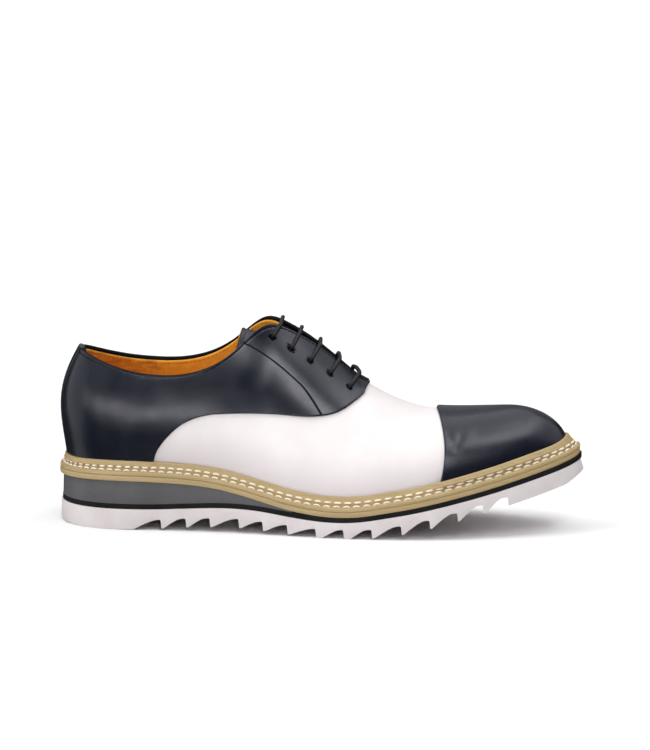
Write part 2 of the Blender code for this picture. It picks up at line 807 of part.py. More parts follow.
def build_eyelet_punch(collection):
    """Rods through the facings, which cut the eyelets."""

    def build(shape):
        for eyelet in EYELETS:
            for side in SIDES:
                centre, normal = eyelet_place(eyelet, side)
                turn = normal.to_track_quat("Z", "Y").to_matrix().to_4x4()
                bmesh.ops.create_cone(
                    shape,
                    cap_ends=True,
                    segments=EYELET_FACETS,
                    radius1=EYELET_RADIUS * MM,
                    radius2=EYELET_RADIUS * MM,
                    depth=EYELET_PUNCH_LENGTH * MM,
                    matrix=Matrix.Translation(to_frame(centre)) @ turn,
                )

    punch = add_object("eyelet_punch", mesh_from("eyelet_punch", build), collection)
    punch.hide_render = True
    punch.display_type = "WIRE"
    return punch


def place_on_ridge(x):
    """The section whose top edge lies at x, in front of the facing's top."""
    low, high = float(FACING_TOP), float(LAST_SECTION)
    for _ in range(BISECTIONS):
        section = (low + high) / 2
        if SECTION["top_x"](section) < x:
            low = section
        else:
            high = section
    return low


def lace_half(eyelet, side):
    """Points of a lace bar from inside its eyelet up to the ridge, on one side."""
    centre, normal = eyelet_place(eyelet, side)
    stand_off = OVERLAY_GAP + OVERLAY + LACE_RADIUS + LACE_CLEARANCE
    ridge_z = SECTION["top_z"](place_on_ridge(eyelet.ridge_x))
    points = [centre - normal * LACE_DIP, centre + normal * (OVERLAY_GAP + OVERLAY + LACE_EYELET_LIFT)]
    for f in LACE_SHARES:
        section, t = place_on_wall(mix(eyelet.x, eyelet.ridge_x, f), mix(eyelet.z, ridge_z, f), side)
        points.append(skin_point(section, t, side, stand_off))
    points.append(skin_point(place_on_ridge(eyelet.ridge_x), 1.0, side, stand_off))
    return points


def build_laces(collection):
    for number, eyelet in enumerate(EYELETS, start=1):
        lateral = lace_half(eyelet, LATERAL)
        medial = lace_half(eyelet, MEDIAL)
        crest = (lateral[-1] + medial[-1]) / 2
        crest.z += eyelet.crest
        points = lateral + [crest] + list(reversed(medial))
        name = f"lace_bar_{number}"
        data = bpy.data.curves.new(name, "CURVE")
        data.dimensions = "3D"
        data.bevel_depth = LACE_RADIUS * MM
        data.bevel_resolution = LACE_ROUND_STEPS
        data.use_fill_caps = True
        spline = data.splines.new("POLY")
        spline.points.add(len(points) - 1)
        for place, point in zip(spline.points, points):
            place.co = (*to_frame(point), 1.0)
        add_object(name, data, collection, BLACK_CORD)


def make_collection(name):
    collection = bpy.data.collections.new(name)
    bpy.context.scene.collection.children.link(collection)
    return collection


def main():
    for obj in list(bpy.data.objects):
        bpy.data.objects.remove(obj)
    shoe = make_collection("spectator_shoe")
    cutters = make_collection("cutters")
    punch = build_eyelet_punch(cutters)
    build_outsole(shoe)
    build_black_layer(shoe)
    build_wedge(shoe)
    build_midsole(shoe)
    build_welt(shoe)
    build_insole(shoe)
    build_upper(shoe, punch)
    build_quarters(shoe, punch)
    build_toe_cap(shoe)
    build_tongue(shoe)
    build_laces(shoe)


main()
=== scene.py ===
"""Looks of a right-foot spectator oxford on a saw-tooth wedge sole.

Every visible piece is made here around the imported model, in the same frame. Sizes are millimetres in
the shoe's own measure: x from the back of the heel, y from the middle of the heel (medial positive)
and z from the floor. Meshes are written in metres about the middle of the footprint.
"""

import logging
import math
from dataclasses import dataclass, field
from enum import Enum
from typing import Callable, NamedTuple, Sequence

import bmesh
import bpy
import numpy as np
from mathutils import Matrix, Quaternion, Vector

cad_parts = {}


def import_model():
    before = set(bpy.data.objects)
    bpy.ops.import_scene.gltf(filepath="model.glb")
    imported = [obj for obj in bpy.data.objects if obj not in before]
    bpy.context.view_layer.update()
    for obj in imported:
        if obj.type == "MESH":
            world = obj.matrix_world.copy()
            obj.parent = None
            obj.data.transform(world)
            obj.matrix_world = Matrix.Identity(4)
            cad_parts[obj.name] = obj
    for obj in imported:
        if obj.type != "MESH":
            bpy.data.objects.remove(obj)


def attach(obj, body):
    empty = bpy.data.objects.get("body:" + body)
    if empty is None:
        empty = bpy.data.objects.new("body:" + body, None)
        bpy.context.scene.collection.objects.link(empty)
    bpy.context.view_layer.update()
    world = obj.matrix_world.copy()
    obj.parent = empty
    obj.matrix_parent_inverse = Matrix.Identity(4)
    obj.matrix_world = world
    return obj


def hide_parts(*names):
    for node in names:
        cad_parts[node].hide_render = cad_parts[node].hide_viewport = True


LOG = logging.getLogger("spectator_shoe")
MM = 0.001
FOOTPRINT_MIDDLE = np.array((153.1, -0.95, 0.0))
BODY = "root"
START_UP_OBJECTS = ("Cube", "Light", "Camera")
WELD = 2e-6
BISECTIONS = 22

Array = np.ndarray
Height = Callable[[Array], Array]
Colour = tuple[float, float, float]
Piece = bpy.types.Object
Socket = bpy.types.NodeSocket


class Side(Enum):
    """The two sides of the shoe, as the sign of their y."""

    LATERAL = -1
    MEDIAL = 1


class Slot(Enum):
    """The record's material slots."""

    OUTSOLE = "outsole_rubber"
    SOLE_LAYER = "sole_layer_rubber"
    WEDGE = "wedge_foam"
    WELT = "welt_leather"
    LINING = "lining_leather"
    VAMP = "vamp_leather"
    OVERLAY = "overlay_leather"
    LACE = "lace_cord"


class SoleStation(NamedTuple):
    """One station of the sole: half-widths of its edge, and the height of each layer."""

    x: float
    lateral: float
    medial: float
    tread: float
    outsole_top: float
    midsole_base: float


SOLE_STATIONS = tuple(SoleStation(*row) for row in (
    (0.0, 38.5, 37.0, 2.4, 12.2, 27.8), (4.0, 38.5, 37.0, 0.8, 12.2, 28.0),
    (9.0, 38.6, 37.0, 0.0, 12.1, 28.3), (30.0, 38.8, 37.0, 0.0, 12.1, 28.8),
    (53.0, 39.0, 36.4, 0.6, 12.2, 28.4), (75.0, 39.4, 34.6, 2.2, 13.2, 27.3),
    (91.0, 41.0, 32.8, 3.0, 14.1, 25.5), (105.0, 43.2, 32.4, 3.2, 14.2, 22.6),
    (118.0, 46.0, 33.4, 2.4, 13.4, 19.2), (134.0, 49.8, 37.0, 1.2, 11.3, 15.2),
    (150.0, 53.2, 42.0, 0.0, 9.6, 12.8), (163.0, 55.2, 46.2, 0.0, 9.2, 12.2),
    (176.0, 56.2, 49.6, 0.0, 10.0, 13.0), (190.0, 56.4, 52.4, 1.4, 12.3, 15.3),
    (207.0, 55.4, 54.2, 4.2, 15.4, 18.4), (229.0, 52.8, 54.0, 9.6, 20.3, 23.3),
    (252.0, 49.6, 51.0, 15.9, 25.9, 28.9), (274.0, 47.0, 47.0, 22.0, 32.0, 35.0),
    (296.0, 44.0, 43.5, 28.4, 38.3, 41.3), (306.0, 42.5, 42.5, 34.6, 42.0, 45.0),
))
TOOTH_TIPS = (60.3, 74.8, 88.8, 105.6, 119.6, 134.0, 150.6, 166.8, 183.2, 200.4, 216.9, 233.0, 248.0, 262.3)


class LastSection(NamedTuple):
    """One section of the upper, from the feather edge on the sole to its top edge or to the ridge.

    half_gap is the distance of the top from the ridge line. arch turns the wall from a straight line
    (0) to a quarter ellipse (1), tuck draws the toe in with the arch, and bulge swells the wall.
    """

    feather: float
    top_x: float
    ridge_y: float
    half_gap: float
    top_z: float
    medial_rise: float
    arch: float
    tuck: float
    bulge: float


LAST_SECTIONS = tuple(LastSection(*row) for row in (
    (1.5, 11.2, 0.0, 0.0, 101.0, 0.0, 0.0, 0.0, 7.4),
    (5.0, 13.0, 0.0, 9.6, 100.2, 0.1, 0.0, 0.0, 7.2),
    (16.0, 19.8, 0.0, 17.4, 96.9, 0.6, 0.0, 0.0, 6.2),
    (34.0, 35.5, 0.0, 24.2, 91.5, 1.6, 0.0, 0.0, 4.6),
    (55.0, 55.6, 0.0, 26.8, 88.6, 2.4, 0.0, 0.0, 3.8),
    (77.0, 77.0, 0.0, 26.8, 90.4, 1.4, 0.0, 0.0, 3.4),
    (93.0, 95.2, 0.2, 24.0, 98.8, 0.6, 0.06, 0.0, 3.2),
    (103.0, 106.8, 0.4, 18.6, 109.8, 0.2, 0.16, 0.0, 3.4),
    (110.0, 115.6, 0.5, 12.0, 116.4, 1.6, 0.26, 0.0, 3.8),
    (116.0, 122.6, 0.6, 7.2, 117.6, 2.2, 0.34, 0.0, 4.2),
    (123.0, 130.4, 0.7, 5.8, 114.8, 2.0, 0.42, 0.0, 4.4),
    (134.0, 143.0, 0.9, 4.6, 108.4, 1.5, 0.50, 0.0, 4.4),
    (147.0, 156.0, 1.1, 3.2, 99.0, 1.2, 0.60, 0.0, 4.0),
    (160.0, 168.0, 1.4, 1.9, 89.4, 0.7, 0.74, 0.0, 3.2),
    (169.0, 175.5, 1.7, 0.0, 84.8, 0.0, 0.86, 0.0, 2.4),
    (176.0, 180.5, 2.0, 0.0, 82.6, 0.0, 0.92, 0.0, 2.0),
    (190.0, 192.0, 2.6, 0.0, 75.6, 0.0, 1.0, 0.0, 1.6),
    (207.0, 207.0, 3.4, 0.0, 70.1, 0.0, 1.0, 0.0, 1.2),
    (223.0, 219.6, 4.0, 0.0, 68.0, 0.0, 1.0, 0.1, 1.0),
    (249.0, 238.0, 4.4, 0.0, 68.3, 0.0, 1.0, 0.4, 0.6),
    (274.0, 252.0, 4.6, 0.0, 69.2, 0.0, 1.0, 0.7, 0.2),
    (293.0, 260.0, 4.6, 0.0, 69.7, 0.0, 1.0, 0.95, 0.0),
    (306.0, 263.0, 4.4, 0.0, 69.8, 0.0, 1.0, 1.0, 0.0),
))


class SeamPoint(NamedTuple):
    """A point of a seam as it shows from the side: x, and height from the floor."""

    x: float
    z: float


VAMP_SEAM = tuple(SeamPoint(*row) for row in (
    (54.0, 31.0), (55.6, 42.5), (58.6, 49.0), (64.4, 56.2), (71.2, 62.0), (80.5, 66.2),
    (92.0, 68.2), (123.0, 68.8), (147.0, 68.0), (161.2, 70.4), (172.7, 76.6), (178.6, 80.6),
))
FACING_SEAM = tuple(SeamPoint(*row) for row in (
    (152.0, 69.0), (148.0, 75.0), (141.9, 83.0), (136.0, 88.3), (125.6, 96.4), (114.2, 103.8), (104.8, 108.6),
))


class Eyelet(NamedTuple):
    """An eyelet as it shows from the side, where its lace bar crosses the ridge, how high it stands there,
    and how far the bar bends back on the far side."""

    x: float
    z: float
    ridge_x: float
    crest: float
    hook: float


EYELETS = tuple(Eyelet(*row) for row in (
    (122.3, 110.4, 126.3, 0.4, -1.2), (133.3, 104.0, 137.5, 0.5, -1.0),
    (144.5, 97.3, 149.0, 1.5, -0.2), (156.0, 90.0, 160.4, 1.5, 1.0),
    (167.5, 82.4, 172.2, 1.0, 3.8),
))


class Crease(NamedTuple):
    """A soft trough in the leather from one point to another as they show from the side."""

    start: SeamPoint
    end: SeamPoint
    depth: float
    width: float

    def at(self, points: Array) -> Array:
        """How deep the trough is at each point."""
        start, run = np.array(self.start), np.array(self.end) - np.array(self.start)
        flat = points[..., (0, 2)] - start
        share = np.clip(flat @ run / (run @ run), 0.0, 1.0)
        away = np.linalg.norm(flat - share[..., None] * run, axis=-1)
        return self.depth * soft_line(away, self.width)


QUARTER_CREASES = (
    Crease(SeamPoint(54.0, 52.0), SeamPoint(57.0, 74.0), 0.4, 10.0),
    Crease(SeamPoint(104.0, 76.0), SeamPoint(120.0, 90.0), 0.35, 9.0),
)
CAP_CREASES = (
    Crease(SeamPoint(226.4, 58.0), SeamPoint(230.0, 50.5), 0.34, 2.0),
    Crease(SeamPoint(233.4, 56.5), SeamPoint(231.6, 51.5), 0.34, 2.0),
    Crease(SeamPoint(244.0, 60.0), SeamPoint(268.0, 62.0), 0.35, 4.0),
)


class TongueRow(NamedTuple):
    """A section of the tongue: its crest, its half-width, and how far its wings fall."""

    x: float
    z: float
    half_width: float
    drop: float


TONGUE_ROWS = tuple(TongueRow(*row) for row in (
    (187.0, 73.6, 9.0, 2.6), (176.0, 79.4, 13.5, 5.8), (160.0, 90.6, 15.2, 9.8), (145.0, 101.2, 15.9, 12.5),
    (130.0, 109.0, 15.7, 14.6), (117.0, 111.8, 14.0, 12.6), (109.4, 113.4, 12.6, 11.0),
    (105.0, 114.8, 11.6, 11.0),
))


def mix(low: Array, high: Array, share: Array) -> Array:
    """The value a share of the way from low to high."""
    return low + (high - low) * share


def smoothstep(low: float, high: float, at: Array) -> Array:
    """A soft step from 0 at low to 1 at high."""
    share = np.clip((np.asarray(at, float) - low) / (high - low), 0.0, 1.0)
    return share * share * (3 - 2 * share)


def soft_line(away: Array, width: float) -> Array:
    """1 on a line, falling softly to 0 away from it."""
    return np.exp(-((away / width) ** 2))


def rolled(distance: Array, radius: float) -> Array:
    """0 on a free edge, rising to 1 over its rounding."""
    inside = np.clip(distance / radius, 0.0, 1.0)
    return np.sqrt(1 - (1 - inside) ** 2)


def bend(share: Array, rise: Array, leave: Array, arrive: Array) -> Array:
    """The part of a rise reached at a share of the way, with given slopes at both ends."""
    late = leave + arrive - 2 * rise
    return share * (leave + share * (3 * rise - 2 * leave - arrive + share * late))


def matched(first: Array, second: Array) -> list[Array]:
    """Two sets of numbers in one common shape."""
    return np.broadcast_arrays(np.asarray(first, float), np.asarray(second, float))


def unit(vectors: Array) -> Array:
    """The vectors at length one."""
    return vectors / np.maximum(np.linalg.norm(vectors, axis=-1, keepdims=True), 1e-12)


def column(rows: Sequence[NamedTuple], name: str) -> list[float]:
    """One named column of a table."""
    return [getattr(row, name) for row in rows]


def lengths_along(points: Array, axis: int = 0) -> Array:
    """Distance from the first point along an axis of a grid of points.

    Args:
        points: Points, with their coordinates on the last axis.
        axis: The axis to walk along.

    Returns:
        Distances in the points' own units, zero at the first point.
    """
    steps = np.linalg.norm(np.diff(points, axis=axis), axis=-1)
    first = np.zeros_like(np.take(steps, [0], axis=axis))
    return np.cumsum(np.concatenate((first, steps), axis=axis), axis=axis)


def read_along(values: Array, lengths: Array, at: Array) -> Array:
    """Values of a line at given distances along it.

    Args:
        values: One row of numbers for each point of the line.
        lengths: Distance of each point along the line.
        at: Distances to read at.

    Returns:
        One row of numbers for each distance.
    """
    return np.stack([np.interp(at, lengths, values[:, k]) for k in range(values.shape[1])], axis=-1)


def smooth_line(points: Array, steps: int) -> Array:
    """A rounded line through control points.

    Args:
        points: Control points on the second last axis.
        steps: Steps between two neighbouring control points.

    Returns:
        The denser line, which passes through every control point.
    """
    points = np.asarray(points, float)
    before = np.concatenate((points[..., :1, :], points[..., :-1, :]), axis=-2)
    after = np.concatenate((points[..., 1:, :], points[..., -1:, :]), axis=-2)
    slope = (after - before) / 2
    share = (np.arange(steps) / steps)[:, None]
    start, end = points[..., :-1, None, :], points[..., 1:, None, :]
    leave, arrive = slope[..., :-1, None, :], slope[..., 1:, None, :]
    line = (start + bend(share, end - start, leave, arrive)).reshape(*points.shape[:-2], -1, points.shape[-1])
    return np.concatenate((line, points[..., -1:, :]), axis=-2)


def spread(length: float, low_marks: Sequence[float], high_marks: Sequence[float], middle: int) -> Array:
    """Distances along a line of a length: set marks near its ends, and even steps between them.

    Args:
        length: Length of the line.
        low_marks: Distances from the start, rising from zero.
        high_marks: Distances from the end, rising from zero.
        middle: Number of even steps between the marks.

    Returns:
        Rising distances from zero to the length.
    """
    room = (low_marks[-1] + high_marks[-1]) / length
    squeeze = min(1.0, 0.8 / room) if room else 1.0
    low = np.asarray(low_marks) * squeeze
    high = length - np.asarray(high_marks)[::-1] * squeeze
    between = np.linspace(low[-1], high[0], middle + 1)[1:-1]
    return np.concatenate((low, between, high))


class Curve:
    """A smooth line through one column of a table, read against another column."""

    def __init__(self, xs: Sequence[float], ys: Sequence[float], level_ends: bool = False) -> None:
        """Keeps the table's columns and the slope at each row.

        Args:
            xs: Rising places.
            ys: Value at each place.
            level_ends: True where the line is level at both ends.
        """
        self.xs = np.asarray(xs, float)
        self.ys = np.asarray(ys, float)
        ahead = np.concatenate((self.ys[1:], self.ys[-1:]))
        behind = np.concatenate((self.ys[:1], self.ys[:-1]))
        width = np.concatenate((self.xs[1:], self.xs[-1:])) - np.concatenate((self.xs[:1], self.xs[:-1]))
        self.slopes = (ahead - behind) / width
        if level_ends:
            self.slopes[[0, -1]] = 0.0

    def __call__(self, at: Array) -> Array:
        """Values at the given places, held beyond the ends."""
        at = np.asarray(at, float)
        k = np.clip(np.searchsorted(self.xs, at, side="right") - 1, 0, len(self.xs) - 2)
        step = self.xs[k + 1] - self.xs[k]
        share = np.clip((at - self.xs[k]) / step, 0.0, 1.0)
        rise = self.ys[k + 1] - self.ys[k]
        return self.ys[k] + bend(share, rise, self.slopes[k] * step, self.slopes[k + 1] * step)

    def softened(self, width: float, fineness: int = 24) -> "Curve":
        """The same line with its bends eased and its ends level.

        Args:
            width: How far along a bend is eased.
            fineness: Rows of the new line for each unit along.

        Returns:
            The eased line.
        """
        at = np.linspace(self.xs[0], self.xs[-1], int((self.xs[-1] - self.xs[0]) * fineness) + 1)
        values = self(at)
        reach = int(3 * width * fineness)
        mirrored = np.concatenate((values[reach:0:-1], values, values[-2 : -reach - 2 : -1]))
        weights = np.exp(-0.5 * (np.arange(-reach, reach + 1) / (width * fineness)) ** 2)
        return Curve(at, np.convolve(mirrored, weights / weights.sum(), mode="valid"))


@dataclass
class SoleShape:
    """Outline of the sole and the heights of its layers."""

    back: float = 1.5
    tip: float = 306.0
    heel_round: float = 40.0
    heel_power: float = 2.2
    toe_round: float = 97.0
    toe_power: float = 2.1
    toe_swing: float = 4.0
    toe_swing_start: float = 200.0
    midsole_thickness: float = 3.2
    midsole_reach_heel: float = 1.3
    midsole_reach_toe: float = -2.2
    inset_heel: float = 5.2
    inset_side: float = 6.8
    inset_toe: float = 10.3
    layer_gap: float = 0.3
    normal_step: float = 0.002
    stations: tuple[SoleStation, ...] = SOLE_STATIONS

    def __post_init__(self) -> None:
        """Turns the table's columns into curves."""
        xs = column(self.stations, "x")
        self.xs = np.array(xs)
        self.treads = np.array(column(self.stations, "tread"))
        self.half_width = {side: Curve(xs, column(self.stations, side.name.lower())) for side in Side}
        self.outsole_top = Curve(xs, column(self.stations, "outsole_top"))
        self.midsole_base = Curve(xs, column(self.stations, "midsole_base"))

    def tread(self, x: Array) -> Array:
        """Height of the tooth tips, straight between the table's rows."""
        return np.interp(x, self.xs, self.treads)

    def midsole_top(self, x: Array) -> Array:
        """Height of the midsole's top."""
        return self.midsole_base(x) + self.midsole_thickness

    def turn_of(self, x: Array) -> Array:
        """The place of x along the sole's edge: 0 at the back of the heel, 1 at the tip of the toe."""
        share = np.clip((np.asarray(x, float) - self.back) / (self.tip - self.back), 0.0, 1.0)
        return np.arccos(1 - 2 * share) / math.pi

    def edge(self, turn: Array, side: Side) -> Array:
        """(x, y) of the outsole's edge."""
        x = self.back + (self.tip - self.back) * (1 - np.cos(math.pi * turn)) / 2
        heel = np.clip(1 - (x - self.back) / self.heel_round, 0.0, 1.0)
        toe = np.clip(1 - (self.tip - x) / self.toe_round, 0.0, 1.0)
        rounding = (1 - heel**self.heel_power) ** (1 / self.heel_power)
        rounding = rounding * (1 - toe**self.toe_power) ** (1 / self.toe_power)
        middle = self.toe_swing * smoothstep(self.toe_swing_start, self.tip, x)
        return np.stack((x, middle + side.value * self.half_width[side](x) * rounding), axis=-1)

    def edge_normal(self, turn: Array, side: Side) -> Array:
        """Unit (x, y) pointing out of the sole's edge."""
        turn = np.asarray(turn, float)
        ahead = self.edge(np.minimum(turn + self.normal_step, 1.0), side)
        behind = self.edge(np.maximum(turn - self.normal_step, 0.0), side)
        run = ahead - behind
        normal = unit(np.stack((-side.value * run[..., 1], side.value * run[..., 0]), axis=-1))
        ends = np.stack((2 * turn - 1, np.zeros_like(turn)), axis=-1)
        return np.where(((turn == 0.0) | (turn == 1.0))[..., None], ends, normal)

    def outline(self, turn: Array, side: Side, reach: Array = 0.0) -> Array:
        """(x, y) of a line outside the sole's edge by reach, or inside it where reach is negative."""
        reach = np.asarray(reach, float)[..., None]
        return self.edge(turn, side) + self.edge_normal(turn, side) * reach

    def midsole_reach(self, turn: Array) -> Array:
        """How far the midsole stands outside the outsole's edge."""
        return mix(self.midsole_reach_heel, self.midsole_reach_toe, turn)

    def feather_inset(self, turn: Array) -> Array:
        """How far the upper's foot stands inside the sole's edge."""
        heel = mix(self.inset_heel, self.inset_side, smoothstep(0.05, 0.3, turn))
        return mix(heel, self.inset_toe, smoothstep(0.75, 1.0, turn))


@dataclass
class LastShape:
    """The surface that every piece of the upper is cut from."""

    sole: SoleShape
    foot_gap: float = 1.1
    bulge_skew: float = 1.3
    seam_foot: int = 4
    facing_top: int = 9
    throat_end: int = 14
    quarter_front: float = 14.8
    cap_seam: float = 17.93
    overlay_top: float = 1.6
    overlay_foot: float = 0.04
    normal_step: float = 0.02
    ease: float = 0.45
    sections: tuple[LastSection, ...] = LAST_SECTIONS

    def __post_init__(self) -> None:
        """Turns the table's columns into curves along the sections."""
        index = range(len(self.sections))
        self.end = float(len(self.sections) - 1)
        self.turn = Curve(index, self.sole.turn_of(column(self.sections, "feather")))
        self.read = {
            name: Curve(index, column(self.sections, name), level_ends=True).softened(self.ease)
            for name in LastSection._fields
            if name not in ("feather", "half_gap")
        }
        gap = Curve(index, column(self.sections, "half_gap"))
        eased = gap.softened(self.ease)
        exact = np.maximum(smoothstep(10.5, 12.0, eased.xs), 1 - smoothstep(0.6, 2.0, eased.xs))
        self.read["half_gap"] = Curve(eased.xs, mix(eased.ys, gap(eased.xs), exact))

    def wall(self, section: Array, t: Array, side: Side) -> Array:
        """Points of the outer face.

        Args:
            section: Place along the table's sections.
            t: 0 at the feather edge and 1 at the top edge or ridge.
            side: Which side of the shoe.

        Returns:
            Points in millimetres.
        """
        section, t = matched(section, t)
        turn = np.clip(self.turn(section), 0.0, 1.0)
        out = self.sole.edge_normal(turn, side)
        foot = self.sole.outline(turn, side, -self.sole.feather_inset(turn))
        foot_z = self.sole.midsole_top(foot[..., 0]) + self.foot_gap
        top_y = self.read["ridge_y"](section) + side.value * np.maximum(self.read["half_gap"](section), 0.0)
        top_z = self.read["top_z"](section)
        if side is Side.MEDIAL:
            top_z = top_z + np.maximum(self.read["medial_rise"](section), 0.0)
        arch = np.clip(self.read["arch"](section), 0.0, 1.0)
        angle = t * math.pi / 2
        inward = mix(t, 1 - np.cos(angle), arch)
        upward = mix(t, np.sin(angle), arch)
        forward = mix(upward, inward, np.clip(self.read["tuck"](section), 0.0, 1.0))
        swell = self.read["bulge"](section) * np.sin(math.pi * t**self.bulge_skew)
        x = mix(foot[..., 0], self.read["top_x"](section), forward) + out[..., 0] * swell
        y = mix(foot[..., 1], top_y, inward) + out[..., 1] * swell
        return np.stack((x, y, mix(foot_z, top_z, upward)), axis=-1)

    def normal(self, section: Array, t: Array, side: Side) -> Array:
        """Unit normals of the outer face, pointing out of the shoe."""
        section, t = matched(section, t)
        step = self.normal_step
        low, high = np.maximum(section - step, 0.0), np.minimum(section + step, self.end)
        along = self.wall(high, t, side) - self.wall(low, t, side)
        above, below = np.minimum(t + step, 1.0), np.maximum(t - step, 0.0)
        up = self.wall(section, above, side) - self.wall(section, below, side)
        normal = np.cross(up, along) * side.value
        ridge = self.wall(high, t, Side.LATERAL) - self.wall(low, t, Side.LATERAL)
        level = np.zeros_like(t)
        over = np.stack((-ridge[..., 2], level, ridge[..., 0]), axis=-1)
        at_toe = np.stack((up[..., 2], level, -up[..., 0]), axis=-1)
        closed = (t >= 1.0) & (section >= self.throat_end)
        normal = np.where((section == self.end)[..., None], at_toe, normal)
        normal = np.where((section == 0.0)[..., None], -at_toe, normal)
        normal = np.where(closed[..., None], over, normal)
        return unit(normal)

    def skin(self, section: Array, t: Array, side: Side, offset: Array) -> Array:
        """Points at a distance outside, or if negative inside, the outer face."""
        offset = np.asarray(offset, float)[..., None]
        return self.wall(section, t, side) + self.normal(section, t, side) * offset

    def height_on_wall(self, section: Array, z: Array, side: Side) -> Array:
        """The t at which each section of the wall reaches height z."""
        section, z = matched(section, z)
        low, high = np.zeros_like(z), np.ones_like(z)
        for _ in range(BISECTIONS):
            t = (low + high) / 2
            below = self.wall(section, t, side)[..., 2] < z
            low, high = np.where(below, t, low), np.where(below, high, t)
        return low

    def place_on_wall(self, x: Array, z: Array, side: Side) -> Array:
        """(section, t) of the points of the wall that show at x, z from the side."""
        x, z = matched(x, z)
        low, high = np.zeros_like(x), np.full_like(x, self.end)
        for _ in range(BISECTIONS):
            section = (low + high) / 2
            behind = self.wall(section, self.height_on_wall(section, z, side), side)[..., 0] < x
            low, high = np.where(behind, section, low), np.where(behind, high, section)
        return np.stack((low, self.height_on_wall(low, z, side)), axis=-1)

    def even_sections(self, per_section: int) -> Array:
        """Even places along all the sections."""
        return np.linspace(0.0, self.end, int(self.end) * per_section + 1)

    def place_on_ridge(self, x: float) -> float:
        """The section whose top edge lies at x."""
        places = np.linspace(0.0, self.end, 2000)
        return float(np.interp(x, self.read["top_x"](places), places))

    def overlay_at_foot(self, section: Array) -> Array:
        """How far an overlay stands off the wall at the feather edge: not at all along the white vamp."""
        quarter = 1 - smoothstep(self.seam_foot - 0.1, self.seam_foot + 0.1, section)
        cap = smoothstep(self.cap_seam - 0.05, self.cap_seam + 0.02, section)
        return self.overlay_top * np.maximum(quarter, cap)


def put(name: str, data: bpy.types.ID) -> Piece:
    """A new object in the scene."""
    obj = bpy.data.objects.new(name, data)
    bpy.context.scene.collection.objects.link(obj)
    return obj


@dataclass
class Skin:
    """Points and faces of one piece, gathered patch by patch in the shoe's millimetres."""

    points: list[Array] = field(default_factory=list)
    faces: list[Array] = field(default_factory=list)
    finishes: list[Array] = field(default_factory=list)
    count: int = 0

    def add_grid(
        self,
        grid: Array,
        closed_along: bool = False,
        closed_across: bool = False,
        finish: int = 0,
        keep: Array | None = None,
    ) -> None:
        """Adds quads between neighbouring points of a grid.

        Args:
            grid: Points in lines (first axis) of equal length (second axis).
            closed_along: True where the last line joins the first.
            closed_across: True where each line closes on itself.
            finish: Index of the material.
            keep: Flag for each pair of neighbouring lines, False where no face is wanted.
        """
        lines, length = grid.shape[:2]
        index = self.count + np.arange(lines * length).reshape(lines, length)
        if closed_along:
            index = np.concatenate((index, index[:1]))
        if closed_across:
            index = np.concatenate((index, index[:, :1]), axis=1)
        quads = np.stack((index[:-1, :-1], index[:-1, 1:], index[1:, 1:], index[1:, :-1]), axis=-1)
        if keep is not None:
            quads = quads[keep]
        quads = quads.reshape(-1, 4)
        self.points.append(grid.reshape(-1, 3))
        self.faces.append(quads)
        self.finishes.append(np.full(len(quads), finish, np.int32))
        self.count += lines * length

    def add_shell(
        self,
        outer: Array,
        inner: Array,
        open_first: bool = False,
        open_last: bool = False,
        open_high: bool | Array = False,
        inner_finish: int = 0,
    ) -> None:
        """Adds an outer and an inner face and closes the edges between them.

        Args:
            outer: Grid of the outer face.
            inner: Grid of the inner face, with as many lines.
            open_first: True where the first line meets another patch.
            open_last: True where the last line meets another patch.
            open_high: True, or a flag for each line, where the far ends of the lines meet another patch.
            inner_finish: Index of the inner face's material.
        """
        self.add_grid(outer)
        self.add_grid(inner, finish=inner_finish)
        self.add_grid(np.stack((outer[:, 0], inner[:, 0]), axis=1))
        closed = ~np.broadcast_to(np.asarray(open_high), (len(outer),))
        high = np.stack((outer[:, -1], inner[:, -1]), axis=1)
        self.add_grid(high, keep=closed[:-1] & closed[1:])
        for at, skip in ((0, open_first), (-1, open_last)):
            if not skip:
                self.add_grid(np.stack((outer[at], inner[at]), axis=1))

    def make(self, name: str, sharp_degrees: float | None = None) -> Piece:
        """Writes the gathered patches as one welded mesh object.

        Args:
            name: Name of the object.
            sharp_degrees: Edges that turn more than this stay sharp.

        Returns:
            The new object, in the scene.
        """
        points = (np.concatenate(self.points) - FOOTPRINT_MIDDLE) * MM
        mesh = bpy.data.meshes.new(name)
        mesh.from_pydata(points.tolist(), [], np.concatenate(self.faces).tolist())
        mesh.polygons.foreach_set("material_index", np.concatenate(self.finishes))
        shape = bmesh.new()
        shape.from_mesh(mesh)
        bmesh.ops.remove_doubles(shape, verts=shape.verts, dist=WELD)
        bmesh.ops.dissolve_degenerate(shape, edges=shape.edges, dist=WELD / 10)
        bmesh.ops.recalc_face_normals(shape, faces=shape.faces)
        shape.to_mesh(mesh)
        shape.free()
        mesh.shade_smooth()
        if sharp_degrees is not None:
            mesh.set_sharp_from_angle(angle=math.radians(sharp_degrees))
        return put(name, mesh)


def places_of(items: bpy.types.bpy_prop_collection, what: str) -> Array:
    """Places of a mesh's points or faces, in the shoe's millimetres."""
    places = np.empty(len(items) * 3, np.float32)
    items.foreach_get(what, places)
    return places.reshape(-1, 3) / MM + FOOTPRINT_MIDDLE


def dress(obj: Piece, *finishes: bpy.types.Material) -> Piece:
    """Gives a piece its materials, in the order of the numbers on its faces."""
    for finish in finishes:
        obj.data.materials.append(finish)
    return obj


